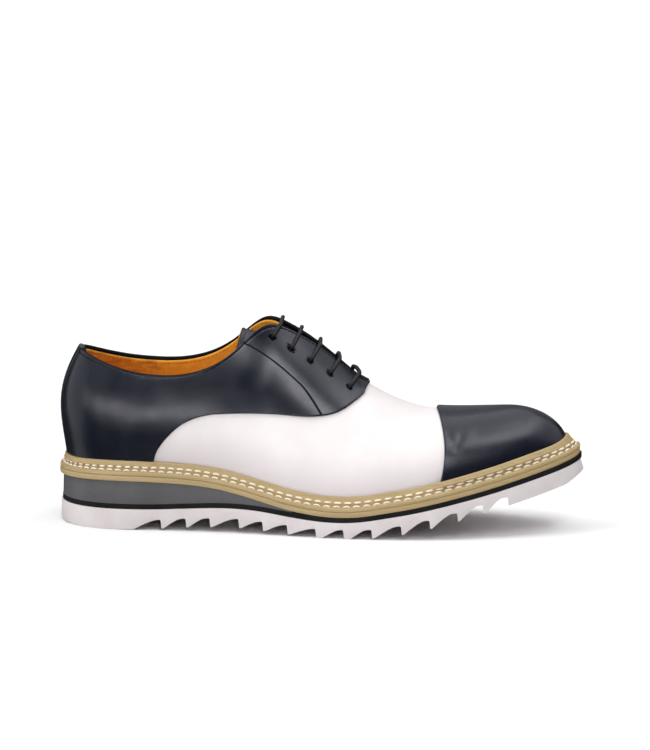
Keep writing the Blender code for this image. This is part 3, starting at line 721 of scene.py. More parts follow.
def tube(path: Array, radii: Array, sides: int) -> Array:
    """Rings of points about a path.

    Args:
        path: Points along the middle.
        radii: Radius for each point of each ring, or one for each ring.
        sides: Points in a ring.

    Returns:
        A grid with one line for each point of the path.
    """
    tangent = unit(np.gradient(path, axis=0))
    across = np.empty_like(path)
    across[0] = unit(np.cross(tangent[0], (0.0, 0.0, 1.0)) + 1e-9)
    for k in range(1, len(path)):
        carried = across[k - 1] - tangent[k] * np.dot(across[k - 1], tangent[k])
        across[k] = unit(carried)
    other = np.cross(tangent, across)
    angle = np.arange(sides) * 2 * math.pi / sides
    spokes = across[:, None] * np.cos(angle)[:, None] + other[:, None] * np.sin(angle)[:, None]
    radii = np.broadcast_to(radii.reshape(len(path), -1), (len(path), sides))
    return path[:, None] + spokes * radii[..., None]


def add_tube(skin: Skin, path: Array, radii: Array, sides: int) -> None:
    """Adds a tube with both of its ends drawn to a point.

    Args:
        skin: The piece that the tube belongs to.
        path: Points along the middle.
        radii: Radius for each point of each ring, or one for each ring.
        sides: Points in a ring.
    """
    rings = tube(path, radii, sides)
    ends = (np.repeat(path[:1, None], sides, axis=1), np.repeat(path[-1:, None], sides, axis=1))
    skin.add_grid(np.concatenate((ends[0], rings, ends[1])), closed_across=True)


@dataclass(frozen=True)
class StitchRow:
    """How a row of stitches is sewn: pitch, share of it that shows, thread, and how proud it stands."""

    pitch: float
    share: float
    radius: float
    lift: float
    bow: float = 0.18
    points: int = 7
    sides: int = 6

    def sew(self, skin: Skin, line: Array, out: Array) -> None:
        """Adds the stitches along a line.

        Args:
            skin: The piece that they belong to.
            line: Points along the seam.
            out: Outward direction at each point.
        """
        lengths = lengths_along(line)
        frame = np.concatenate((line, out), axis=1)
        shares = np.linspace(-0.5, 0.5, self.points)
        swell = np.sqrt(np.clip(1 - (2 * shares) ** 4, 0.05, 1.0))
        rise = self.lift + self.bow * (1 - 2 * (2 * shares) ** 2)
        for at in np.arange(self.pitch, lengths[-1] - self.pitch / 2, self.pitch):
            spots = read_along(frame, lengths, at + shares * self.pitch * self.share)
            add_tube(skin, spots[:, :3] + spots[:, 3:] * rise[:, None], self.radius * swell, self.sides)


def fit(obj: Piece, slot: Slot | None, *nodes: str) -> None:
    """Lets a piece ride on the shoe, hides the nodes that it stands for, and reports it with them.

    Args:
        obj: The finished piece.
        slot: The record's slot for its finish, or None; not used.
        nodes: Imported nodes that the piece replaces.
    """
    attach(obj, BODY)
    if nodes:
        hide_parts(*nodes)
    LOG.info("%s: %d faces, stands for %s", obj.name, len(obj.data.polygons), ", ".join(nodes) or "no node")


class Bench:
    """Lays out the nodes of one material."""

    def __init__(self, name: str) -> None:
        """Starts a material with its shader and object coordinates.

        Args:
            name: Name of the material.
        """
        self.material = bpy.data.materials.new(name)
        self.material.use_nodes = True
        self.tree = self.material.node_tree
        self.shader = self.tree.nodes["Principled BSDF"]
        self.place = self.tree.nodes.new("ShaderNodeTexCoord").outputs["Object"]

    def set(self, **values: float | tuple) -> None:
        """Sets the shader's own sockets, with _ for each space in a socket's name."""
        for name, value in values.items():
            self.shader.inputs[name.replace("_", " ")].default_value = value

    def feed(self, socket: str, source: Socket) -> None:
        """Links a source to one of the shader's sockets."""
        self.tree.links.new(source, self.shader.inputs[socket])

    def add(self, kind: str, output: str, inputs: dict[str | int, object], **options: str) -> Socket:
        """Adds one node.

        Args:
            kind: The node's kind, without its prefix.
            output: Name of the output that is wanted.
            inputs: A number, a colour or another node's output for each input.
            options: The node's own settings.

        Returns:
            The output.
        """
        node = self.tree.nodes.new("ShaderNode" + kind)
        for name, value in options.items():
            setattr(node, name, value)
        for name, value in inputs.items():
            if isinstance(value, Socket):
                self.tree.links.new(value, node.inputs[name])
            else:
                node.inputs[name].default_value = value
        return node.outputs[output]

    def stretch(self, scale: tuple[float, float, float]) -> Socket:
        """Object coordinates scaled along each axis."""
        return self.add("Mapping", "Vector", {"Scale": scale, "Vector": self.place})

    def noise(self, scale: float, detail: float, place: Socket | None = None) -> Socket:
        """Soft random values from 0 to 1, of so many features a metre and so many finer layers."""
        return self.add("TexNoise", "Fac", {"Scale": scale, "Detail": detail, "Vector": place or self.place})

    def cells(self, scale: float) -> Socket:
        """Distance from the nearest border of so many cells a metre, for pebbled grain."""
        inputs = {"Scale": scale, "Vector": self.place}
        return self.add("TexVoronoi", "Distance", inputs, feature="DISTANCE_TO_EDGE")

    def level(self, source: Socket, low: float, high: float, out: tuple[float, float]) -> Socket:
        """A value moved from the range of low to high to another, and held at its ends."""
        inputs = {"From Min": low, "From Max": high, "To Min": out[0], "To Max": out[1], "Value": source}
        return self.add("MapRange", "Result", inputs)

    def shades(self, source: Socket, finish: "Finish", low: float = 0.3, high: float = 0.7) -> Socket:
        """A colour between a finish's two shades for each value.

        Args:
            source: The value.
            finish: The finish with its deep and its pale shade.
            low: Where the deep shade ends.
            high: Where the pale shade starts.

        Returns:
            The colour.
        """
        node = self.tree.nodes.new("ShaderNodeValToRGB")
        for element, at, colour in zip(node.color_ramp.elements, (low, high), (finish.deep, finish.pale)):
            element.position = at
            element.color = (*colour, 1.0)
        self.tree.links.new(source, node.inputs["Fac"])
        return node.outputs["Color"]

    def total(self, first: Socket, second: Socket, share: float) -> Socket:
        """The first value plus a share of the second."""
        return self.add("Math", "Value", {0: second, 1: share, 2: first}, operation="MULTIPLY_ADD")

    def tint(self, body: Socket, name: str, colour: Colour) -> Socket:
        """A colour that turns to another where a number kept on the mesh's points rises, used for painted
        shade.
        """
        share = self.add("Attribute", "Fac", {}, attribute_name=name)
        return self.add("Mix", "Result", {"Factor": share, "A": body, "B": (*colour, 1.0)}, data_type="RGBA")

    def relief(self, height: Socket, depth: float) -> None:
        """Raises the surface by a height of 0 to 1 times a depth in metres."""
        inputs = {"Strength": 1.0, "Distance": depth, "Height": height}
        self.feed("Normal", self.add("Bump", "Normal", inputs))


@dataclass(frozen=True)
class Finish:
    """A finish between a deep and a pale shade."""

    name: str
    deep: Colour
    pale: Colour


@dataclass(frozen=True)
class SmoothLeather(Finish):
    """Polished calf leather: fine pores, faint clouds of colour and an uneven shine, and, where a foot colour
    is given, a painted shade near the welt.
    """

    shine: tuple[float, float]
    coat: float
    coat_roughness: float
    pores: float = 1500.0
    pore_depth: float = 0.000035
    ripple: float = 1.6
    specular: float = 0.5
    glint: Colour = (1.0, 1.0, 1.0)
    # colour of the painted shade that darkens the leather towards the welt
    foot: Colour | None = None
    foot_attribute: str = "foot"

    def make(self) -> bpy.types.Material:
        """Builds the material."""
        bench = Bench(self.name)
        bench.set(Coat_Weight=self.coat, Coat_Roughness=self.coat_roughness)
        bench.set(Specular_IOR_Level=self.specular, Specular_Tint=(*self.glint, 1.0))
        body = bench.shades(bench.noise(55.0, 4.0), self)
        # painted shade towards the welt, by the number kept on the vamp's points
        if self.foot:
            body = bench.tint(body, self.foot_attribute, self.foot)
        bench.feed("Base Color", body)
        bench.feed("Roughness", bench.level(bench.noise(140.0, 3.0), 0.3, 0.7, self.shine))
        pores = bench.level(bench.cells(self.pores), 0.0, 0.12, (0.0, 1.0))
        bench.relief(bench.total(pores, bench.noise(420.0, 2.0), self.ripple), self.pore_depth)
        return bench.material


@dataclass(frozen=True)
class NappedLeather(Finish):
    """Lining leather: a soft nap, brushed darker and lighter."""

    roughness: float
    nap: float
    nap_depth: float
    sheen: float

    def make(self) -> bpy.types.Material:
        """Builds the material."""
        bench = Bench(self.name)
        bench.set(Roughness=self.roughness, Sheen_Weight=self.sheen, Sheen_Roughness=0.5)
        brushed = bench.noise(160.0, 5.0, bench.stretch((1.0, 1.0, 2.2)))
        fine = bench.noise(self.nap, 3.0)
        bench.feed("Base Color", bench.shades(bench.total(brushed, fine, 0.35), self, 0.45, 0.85))
        bench.relief(bench.total(fine, brushed, 0.8), self.nap_depth)
        return bench.material


@dataclass(frozen=True)
class SoleRubber(Finish):
    """Moulded rubber or foam: matte, with a fine tooth and faint clouds."""

    roughness: tuple[float, float]
    specular: float = 0.5
    tooth: float = 2200.0
    tooth_depth: float = 0.00003

    def make(self) -> bpy.types.Material:
        """Builds the material."""
        bench = Bench(self.name)
        bench.set(Specular_IOR_Level=self.specular)
        bench.feed("Base Color", bench.shades(bench.noise(70.0, 5.0), self))
        bench.feed("Roughness", bench.level(bench.noise(300.0, 2.0), 0.3, 0.7, self.roughness))
        bench.relief(bench.noise(self.tooth, 3.0), self.tooth_depth)
        return bench.material


@dataclass(frozen=True)
class WeltStrip(Finish):
    """Tan welting: satin, with fine drawn lines along it, and a painted shade darkening its stitched channel.
    """

    # colour of the painted shade in the stitched channel
    channel: Colour
    shadow_attribute: str = ""

    def make(self) -> bpy.types.Material:
        """Builds the material."""
        bench = Bench(self.name)
        bench.set(Roughness=0.5, Coat_Weight=0.08, Coat_Roughness=0.4)
        lines = bench.noise(90.0, 6.0, bench.stretch((0.35, 1.0, 6.0)))
        body = bench.shades(lines, self)
        if self.shadow_attribute:
            # painted shade in the channel, by the number kept on the welt's points
            body = bench.tint(body, self.shadow_attribute, self.channel)
        bench.feed("Base Color", body)
        bench.relief(bench.total(lines, bench.noise(1600.0, 2.0), 0.4), 0.00008)
        return bench.material


@dataclass(frozen=True)
class Thread(Finish):
    """Sewing thread: matte, with the fine relief of its twist."""

    roughness: float = 0.75
    specular: float = 0.5
    sheen: float = 0.1

    def make(self) -> bpy.types.Material:
        """Builds the material."""
        bench = Bench(self.name)
        bench.set(Roughness=self.roughness, Sheen_Weight=self.sheen, Specular_IOR_Level=self.specular)
        strands = bench.noise(1800.0, 3.0)
        bench.feed("Base Color", bench.shades(strands, self, 0.3, 0.6))
        bench.relief(strands, 0.0001)
        return bench.material


@dataclass(frozen=True)
class PaleFloor:
    """The plain pale studio floor."""

    name: str = "pale_floor"
    colour: Colour = (0.93, 0.93, 0.93)

    def make(self) -> bpy.types.Material:
        """Builds the material."""
        bench = Bench(self.name)
        bench.set(Base_Color=(*self.colour, 1.0), Roughness=0.9, Specular_IOR_Level=0.0)
        return bench.material


class Finishes:
    """Every material of the shoe, made once."""

    def __init__(self) -> None:
        """Makes the materials."""
        self.black_leather = SmoothLeather(
            "black_calf", (0.004, 0.0055, 0.012), (0.0055, 0.0075, 0.0155), (0.2, 0.26), 0.0, 0.15,
            pore_depth=0.00001, ripple=1.0, specular=0.64, glint=(0.93, 0.93, 1.0),
        ).make()
        self.black_edge = SmoothLeather(
            "black_edge", (0.003, 0.003, 0.0045), (0.006, 0.006, 0.008), (0.6, 0.75), 0.0, 0.3, specular=0.14
        ).make()
        self.white_leather = SmoothLeather(
            "white_calf", (0.84, 0.785, 0.79), (0.89, 0.845, 0.85), (0.42, 0.55), 0.1, 0.35, 1300.0, 0.00003,
            # foot: painted shade, the white darkened towards the welt
            foot=(0.63, 0.575, 0.585),
        ).make()
        self.heel_lining = NappedLeather(
            "heel_suede", (0.55, 0.185, 0.005), (0.98, 0.45, 0.025), 0.9, 1100.0, 0.00045, 0.25
        ).make()
        self.front_lining = NappedLeather(
            "front_lining", (0.76, 0.285, 0.010), (0.93, 0.41, 0.025), 0.7, 900.0, 0.0001, 0.1
        ).make()
        self.outsole = SoleRubber(
            "pale_rubber", (0.63, 0.575, 0.585), (0.70, 0.65, 0.655), (0.55, 0.7)
        ).make()
        self.sole_layer = SoleRubber(
            "black_rubber", (0.006, 0.006, 0.008), (0.012, 0.012, 0.014), (0.6, 0.75), 0.2
        ).make()
        self.wedge = SoleRubber("grey_foam", (0.082, 0.080, 0.086), (0.105, 0.102, 0.108), (0.5, 0.62)).make()
        tan = ((0.39, 0.28, 0.128), (0.465, 0.345, 0.17))
        self.midsole = WeltStrip("tan_midsole", *tan, tan[0]).make()
        # The welt's stitched channel gets a painted shade in the darker tan.
        self.welt = WeltStrip("tan_welt", *tan, (0.35, 0.25, 0.115), "channel").make()
        self.welt_thread = Thread("cream_thread", (0.80, 0.68, 0.50), (0.95, 0.88, 0.74)).make()
        self.black_thread = Thread(
            "black_thread", (0.003, 0.003, 0.004), (0.009, 0.009, 0.011), 0.7, 0.15, 0.0
        ).make()
        self.lining_thread = Thread("tan_thread", (0.16, 0.06, 0.012), (0.3, 0.13, 0.035)).make()
        self.lace = Thread("waxed_lace", (0.007, 0.007, 0.010), (0.016, 0.016, 0.021), 0.5, 0.4, 0.0).make()


class RimPoint(NamedTuple):
    """A point of a layer's edge: how far below the top or above the bottom, and how far in."""

    from_top: bool
    height: float
    inset: float


@dataclass
class SoleLayer:
    """One layer of the sole between two heights, with a rounded edge."""

    sole: SoleShape
    name: str
    bottom: Height
    top: Height
    reach: Height
    turns: Array
    round: float = 0.35
    steps_across: int = 5

    def rim(self) -> list[RimPoint]:
        """The edge's points from the top of the layer to its bottom."""
        quarter = [k * math.pi / 6 for k in range(4)]
        corner = [((1 - math.sin(a)) * self.round, (1 - math.cos(a)) * self.round) for a in quarter]
        top = [RimPoint(True, away, inset) for inset, away in corner]
        return top + [RimPoint(False, away, inset) for away, inset in corner]

    def rim_line(self, side: Side) -> Array:
        """Points of the edge for every station, from top to bottom.

        Args:
            side: Which side of the shoe.

        Returns:
            A grid with a line for each station.
        """
        lines = []
        for point in self.rim():
            reach = self.reach(self.turns) - point.inset - self.slant(point)
            spot = self.sole.outline(self.turns, side, reach)
            x = spot[..., 0]
            z = self.top(x) - point.height if point.from_top else self.bottom(x) + point.height
            lines.append(np.concatenate((spot, z[:, None]), axis=-1))
        return np.stack(lines, axis=1)

    def slant(self, point: RimPoint) -> Array:
        """How much further in a point of the edge stands, station by station: nowhere on a plain layer."""
        return np.zeros_like(self.turns)

    def across(self, start: Array, end: Array, height: Height) -> Array:
        """Points between the two sides, on the layer's own height."""
        share = np.linspace(0.0, 1.0, self.steps_across + 1)[1:-1]
        line = start[:, None] + (end - start)[:, None] * share[:, None]
        line[..., 2] = height(line[..., 0])
        return line

    def build(self) -> Piece:
        """Makes the layer's mesh."""
        lateral, medial = self.rim_line(Side.LATERAL), self.rim_line(Side.MEDIAL)[:, ::-1]
        under = self.across(lateral[:, -1], medial[:, 0], self.bottom)
        over = self.across(medial[:, -1], lateral[:, 0], self.top)
        skin = Skin()
        skin.add_grid(np.concatenate((lateral, under, medial, over), axis=1), closed_across=True)
        return skin.make(self.name, 50.0)


@dataclass
class Outsole(SoleLayer):
    """The pale outsole with saw teeth under it and a drawn-back lip at the toe."""

    toe_slant: float = 2.0
    toe_slant_start: float = 0.84

    def slant(self, point: RimPoint) -> Array:
        """How far the top of the edge is drawn back at the toe."""
        return (self.toe_slant if point.from_top else 0.0) * smoothstep(self.toe_slant_start, 1.0, self.turns)


class FacePoint(NamedTuple):
    """A point down a tooth's face: share of its lean and share of its drop."""

    lean: float
    drop: float


TOOTH_FACE = tuple(FacePoint(*row) for row in (
    (0.15, 0.02), (0.34, 0.08), (0.5, 0.2), (0.64, 0.4), (0.8, 0.7), (0.92, 0.93), (1.0, 1.0),
))


@dataclass
class ToothLine:
    """The height of the outsole's underside along x, with its teeth."""

    sole: SoleShape
    block_front: float = 44.0
    depth: float = 5.2
    face_lean: float = 1.1
    tip_flat: float = 1.2
    standing_flat: float = 3.6
    root_flat: float = 3.6
    root_rise: float = 0.5
    slope_power: float = 1.18
    slope_steps: int = 10
    root_steps: int = 4

    def __post_init__(self) -> None:
        """Walks along the teeth from the heel block to the toe block."""
        xs = [self.block_front - 0.6, self.block_front]
        zs = [float(self.sole.tread(x)) for x in xs]
        for tip in TOOTH_TIPS:
            tip_z = float(self.sole.tread(tip))
            root = tip - self.face_lean
            root_z = float(self.sole.tread(root)) + self.depth
            start_x, start_z = xs[-1], zs[-1]
            for share in np.linspace(0.0, 1.0, self.slope_steps + 1)[1:]:
                xs.append(mix(start_x, root - self.root_flat, share))
                zs.append(mix(start_z, root_z - self.root_rise, 1 - (1 - share) ** self.slope_power))
            for share in np.linspace(0.0, 1.0, self.root_steps + 1)[1:]:
                xs.append(root - self.root_flat * (1 - share))
                zs.append(root_z - self.root_rise * (1 - share) ** 2)
            for point in TOOTH_FACE:
                xs.append(root + self.face_lean * point.lean)
                zs.append(mix(root_z, tip_z, point.drop))
            flat = self.standing_flat if tip_z == 0.0 else self.tip_flat
            for share in (0.5, 1.0):
                xs.append(tip + flat * share)
                zs.append(float(self.sole.tread(xs[-1])))
        self.xs, self.zs = np.array(xs), np.array(zs)

    def __call__(self, x: Array) -> Array:
        """Height of the underside."""
        inside = (x > self.xs[0]) & (x < self.xs[-1])
        return np.where(inside, np.interp(x, self.xs, self.zs), self.sole.tread(x))


@dataclass
class SoleStack:
    """The outsole, the black layer, the grey wedge and the tan midsole."""

    sole: SoleShape
    finishes: Finishes
    black_thickness: float = 2.7
    black_reach: float = -0.6
    wedge_reach: float = -0.8
    wedge_front: float = 136.0
    edge_steps: int = 240

    def turns_with(self, xs: Sequence[float] = ()) -> Array:
        """Stations along the edge, with extra places among them."""
        even = np.linspace(0.0, 1.0, self.edge_steps + 1)
        extra = self.sole.turn_of(np.asarray(xs, float)) if len(xs) else np.empty(0)
        merged = np.unique(np.concatenate((even, extra)))
        return merged[np.concatenate(([True], np.diff(merged) > 1e-5))]

    def black_top(self, x: Array) -> Array:
        """Height of the black layer's top."""
        full = self.sole.outsole_top(x) + self.sole.layer_gap + self.black_thickness
        return np.minimum(full, self.sole.midsole_base(x) - 0.02)

    def build(self) -> None:
        """Makes and dresses the four layers."""
        sole, gap = self.sole, self.sole.layer_gap
        teeth = ToothLine(sole)
        outsole = Outsole(
            sole, "outsole_teeth", teeth, sole.outsole_top, np.zeros_like, self.turns_with(teeth.xs), 0.3
        )
        black = SoleLayer(
            sole,
            "black_layer",
            lambda x: sole.outsole_top(x) + 0.02,
            self.black_top,
            lambda turn: self.black_reach * (1 + turn),
            self.turns_with(),
        )
        wedge_turns = self.turns_with([self.wedge_front])
        wedge = SoleLayer(
            sole,
            "grey_wedge",
            lambda x: np.minimum(self.black_top(x) + 0.02, sole.midsole_base(x) - 0.04),
            lambda x: sole.midsole_base(x) - 0.02,
            lambda turn: np.full_like(turn, self.wedge_reach),
            wedge_turns[wedge_turns <= sole.turn_of(self.wedge_front)],
            0.02,
        )
        midsole = SoleLayer(
            sole,
            "tan_midsole",
            sole.midsole_base,
            sole.midsole_top,
            sole.midsole_reach,
            self.turns_with(),
            0.5,
        )
        for layer, finish, slot, node in (
            (outsole, self.finishes.outsole, Slot.OUTSOLE, "outsole"),
            (black, self.finishes.sole_layer, Slot.SOLE_LAYER, "black_sole_layer"),
            (wedge, self.finishes.wedge, Slot.WEDGE, "heel_wedge"),
            (midsole, self.finishes.midsole, Slot.WELT, "midsole"),
        ):
            fit(dress(layer.build(), finish), slot, node)


class WeltPoint(NamedTuple):
    """A point of the welt's profile: from the sole's edge, or on the wall.

    On the sole, first is the inset from the midsole's edge; on the wall it is the distance off the leather.
    channel is how deep the point lies in the stitched channel, for the painted shade there.
    """

    on_wall: bool
    first: float
    height: float
    channel: float


WELT_PROFILE = tuple(WeltPoint(*row) for row in (
    (False, 0.5, 0.0, 0.3), (False, 0.05, 0.35, 0.1), (False, 0.0, 1.2, 0.0), (False, 0.15, 2.0, 0.0),
    (False, 0.7, 2.5, 0.0), (False, 1.4, 2.6, 0.1), (False, 1.9, 2.45, 0.8), (False, 2.4, 2.75, 1.0),
    (False, 2.9, 3.5, 1.0), (False, 3.2, 4.3, 1.0), (False, 3.5, 4.75, 0.8), (True, 2.35, 5.2, 0.1),
    (True, 1.95, 6.0, 0.0), (True, 1.7, 7.0, 0.0), (True, 1.3, 7.65, 0.0), (True, 0.7, 7.95, 0.0),
    (True, 0.1, 7.7, 0.4), (True, -0.2, 6.5, 1.0), (True, -0.2, 0.4, 1.0),
))


@dataclass
class Welt:
    """The tan welt around the upper, with its bead, its channel and two rows of stitches."""

    last: LastShape
    finishes: Finishes
    steps_per_section: int = 12
    profile_steps: int = 3
    stand_off: float = 0.1
    low_row: float = 6.35
    high_row: float = 10.2
    stitch_share: float = 0.74
    thread_radius: float = 0.6
    thread_tip: float = 0.03
    thread_bow: float = 0.25
    thread_sides: int = 8
    toe_lift: float = 1.5
    toe_lift_start: float = 0.86
    toe_lift_height: float = 5.0
    pitch_x: tuple[float, ...] = (0.0, 60.0, 110.0, 165.0, 260.0, 306.0)
    pitches: tuple[float, ...] = (5.0, 5.1, 5.6, 5.85, 6.4, 6.2)

    def __post_init__(self) -> None:
        """Sets up the pitch of the stitches along the shoe."""
        self.pitch = Curve(self.pitch_x, self.pitches)

    def profile(self, section: Array, side: Side) -> Array:
        """Control points of the welt's profile.

        Args:
            section: Places along the last's sections.
            side: Which side of the shoe.

        Returns:
            A grid with a line of control points for each place.
        """
        last, sole = self.last, self.last.sole
        turn = np.clip(last.turn(section), 0.0, 1.0)
        base = self.stand_off + last.overlay_at_foot(section)
        floor_z = sole.midsole_top(last.wall(section, 0.0, side)[..., 0]) + sole.layer_gap
        points = []
        for point in WELT_PROFILE:
            if point.on_wall:
                lift = self.toe_lift * smoothstep(self.toe_lift_start, 1.0, turn)
                lift = lift * min(point.height / self.toe_lift_height, 1.0)
                t = last.height_on_wall(section, floor_z + point.height + lift, side)
                spot = last.skin(section, t, side, base + point.first)
            else:
                flat = sole.outline(turn, side, sole.midsole_reach(turn) - point.first)
                z = sole.midsole_top(flat[..., 0]) + 0.02 + point.height
                spot = np.concatenate((flat, z[..., None]), axis=-1)
            points.append(spot)
        return np.stack(points, axis=1)

    def rings(self) -> Array:
        """The closed ring of control points, from the toe along the lateral side to the heel and back."""
        steps = self.last.even_sections(self.steps_per_section)
        medial = self.profile(steps[1:-1], Side.MEDIAL)
        return np.concatenate((self.profile(steps[::-1], Side.LATERAL), medial))

    def build(self) -> None:
        """Makes and dresses the welt and its stitches."""
        rings = self.rings()
        surface = smooth_line(rings, self.profile_steps)
        skin = Skin()
        skin.add_grid(surface, closed_along=True, closed_across=True)
        welt = skin.make("welt_strip")
        self.shade_channel(welt, surface)
        fit(dress(welt, self.finishes.welt), Slot.WELT, "welt")
        rows = Skin()
        self.add_stitches(rows, rings, self.low_row, 0.42, 0.5, 0.15)
        self.add_stitches(rows, rings, self.high_row, 0.0, 0.0, 0.1)
        fit(dress(rows.make("welt_stitches"), self.finishes.welt_thread), Slot.WELT)

    def shade_channel(self, welt: Piece, surface: Array) -> None:
        """Keeps on each point how deep in the channel it lies, for the painted shade there.

        Args:
            welt: The welt's object, whose points are in the surface's order.
            surface: The grid that it was made from.
        """
        marks = np.array([[point.channel] for point in WELT_PROFILE])
        depth = np.clip(smooth_line(marks, self.profile_steps)[:, 0], 0.0, 1.0)
        values = np.tile(depth, len(surface)).astype(np.float32)
        attribute = welt.data.attributes.new("channel", "FLOAT", "POINT")
        if len(values) == len(welt.data.vertices):
            attribute.data.foreach_set("value", values)

    def row_line(self, rings: Array, place: float) -> Array:
        """The line round the shoe at one place on the profile, counted in control points."""
        k = int(place)
        return mix(rings[:, k], rings[:, k + 1], place - k)

    def add_stitches(
        self, skin: Skin, rings: Array, place: float, rise: float, phase: float, lift: float
    ) -> None:
        """Adds one row of stitches.

        Args:
            skin: The piece that the stitches belong to.
            rings: Control points of the welt.
            place: Where the row lies on the profile, counted in control points.
            rise: How far the middle of each stitch bows up the profile.
            phase: Share of a pitch by which the row is shifted.
            lift: How far the thread's middle stands off the welt.
        """
        line = self.row_line(rings, place)
        above = unit(self.row_line(rings, place + 0.5) - self.row_line(rings, place - 0.5))
        along = unit(np.gradient(line, axis=0))
        out = unit(np.cross(along, above))
        middle = line.mean(axis=0)
        facing = np.sum(out[:, :2] * (line - middle)[:, :2], axis=1, keepdims=True)
        out = np.where(facing < 0, -out, out)
        lengths = lengths_along(line)
        frame = np.concatenate((line, above, out), axis=1)
        at = phase * float(self.pitch(line[0, 0]))
        shares = np.linspace(-0.5, 0.5, 9)
        swell = np.sqrt(np.clip(1 - (2 * shares) ** 4, self.thread_tip, 1.0))
        bow = 1 - (2 * shares) ** 2
        out_by = lift + self.thread_bow * bow - self.thread_bow * (1 - bow)
        while at < lengths[-1]:
            pitch = float(self.pitch(read_along(line, lengths, np.array([at]))[0, 0]))
            reach = np.clip(at + shares * pitch * self.stitch_share, 0.0, lengths[-1])
            spots = read_along(frame, lengths, reach)
            path = spots[:, :3] + spots[:, 3:6] * (rise * bow)[:, None]
            path += spots[:, 6:9] * out_by[:, None]
            add_tube(skin, path, self.thread_radius * swell, self.thread_sides)
            at += pitch


@dataclass
class Panel:
    """A piece of leather laid on the last: its places, its edges and its thickness."""

    last: LastShape
    thickness: float = 1.55
    lift: float = 0.05
    edge_round: float = 0.65
    edge_share: float = 0.35
    stitch_inset: float = 2.0
    stitch_depth: float = 0.13
    stitch_width: float = 0.4
    edge_marks: tuple[float, ...] = (0.0, 0.06, 0.18, 0.36, 0.6, 0.9, 1.3, 1.6, 1.8, 2.0, 2.2, 2.4, 2.8, 3.5)

    def respace(
        self, places: Array, side: Side, low: Sequence[float], high: Sequence[float], middle: int
    ) -> Array:
        """Sets the places of each line at even distances, with marks near both ends.

        Args:
            places: (section, t) grid.
            side: Which side of the shoe.
            low: Distances of the marks from the start of each line.
            high: Distances of the marks from the end of each line.
            middle: Even steps between the marks.

        Returns:
            The new grid of places.
        """
        points = self.last.wall(places[..., 0], places[..., 1], side)
        lengths = lengths_along(points, axis=1)
        lines = []
        for line, run in zip(places, lengths):
            lines.append(read_along(line, run, spread(float(run[-1]), low, high, middle)))
        return np.stack(lines)

    def roll(self, distance: Array) -> Array:
        """Share of the thickness at a distance from a free edge."""
        return mix(self.edge_share, 1.0, rolled(distance, self.edge_round))

    def channel(self, distance: Array) -> Array:
        """Depth of the sewn line that runs along an edge."""
        return self.stitch_depth * soft_line(distance - self.stitch_inset, self.stitch_width)


class RimTurn(NamedTuple):
    """A point of a folded top edge: distance off the wall's outer face, and height above the wall's top."""

    off: float
    rise: float


FOLDED_RIM = tuple(RimTurn(*row) for row in (
    (1.58, 0.0), (1.42, 0.32), (1.1, 0.58), (0.65, 0.7),
    (0.15, 0.62), (-0.3, 0.38), (-0.55, 0.0), (-0.6, -1.8),
))


class PanelFaces(NamedTuple):
    """Grids of a panel's faces and of its folded top edge, and the line sewn along that edge."""

    outer: Array
    inner: Array
    rim: Array
    sewn: Array
    sewn_out: Array


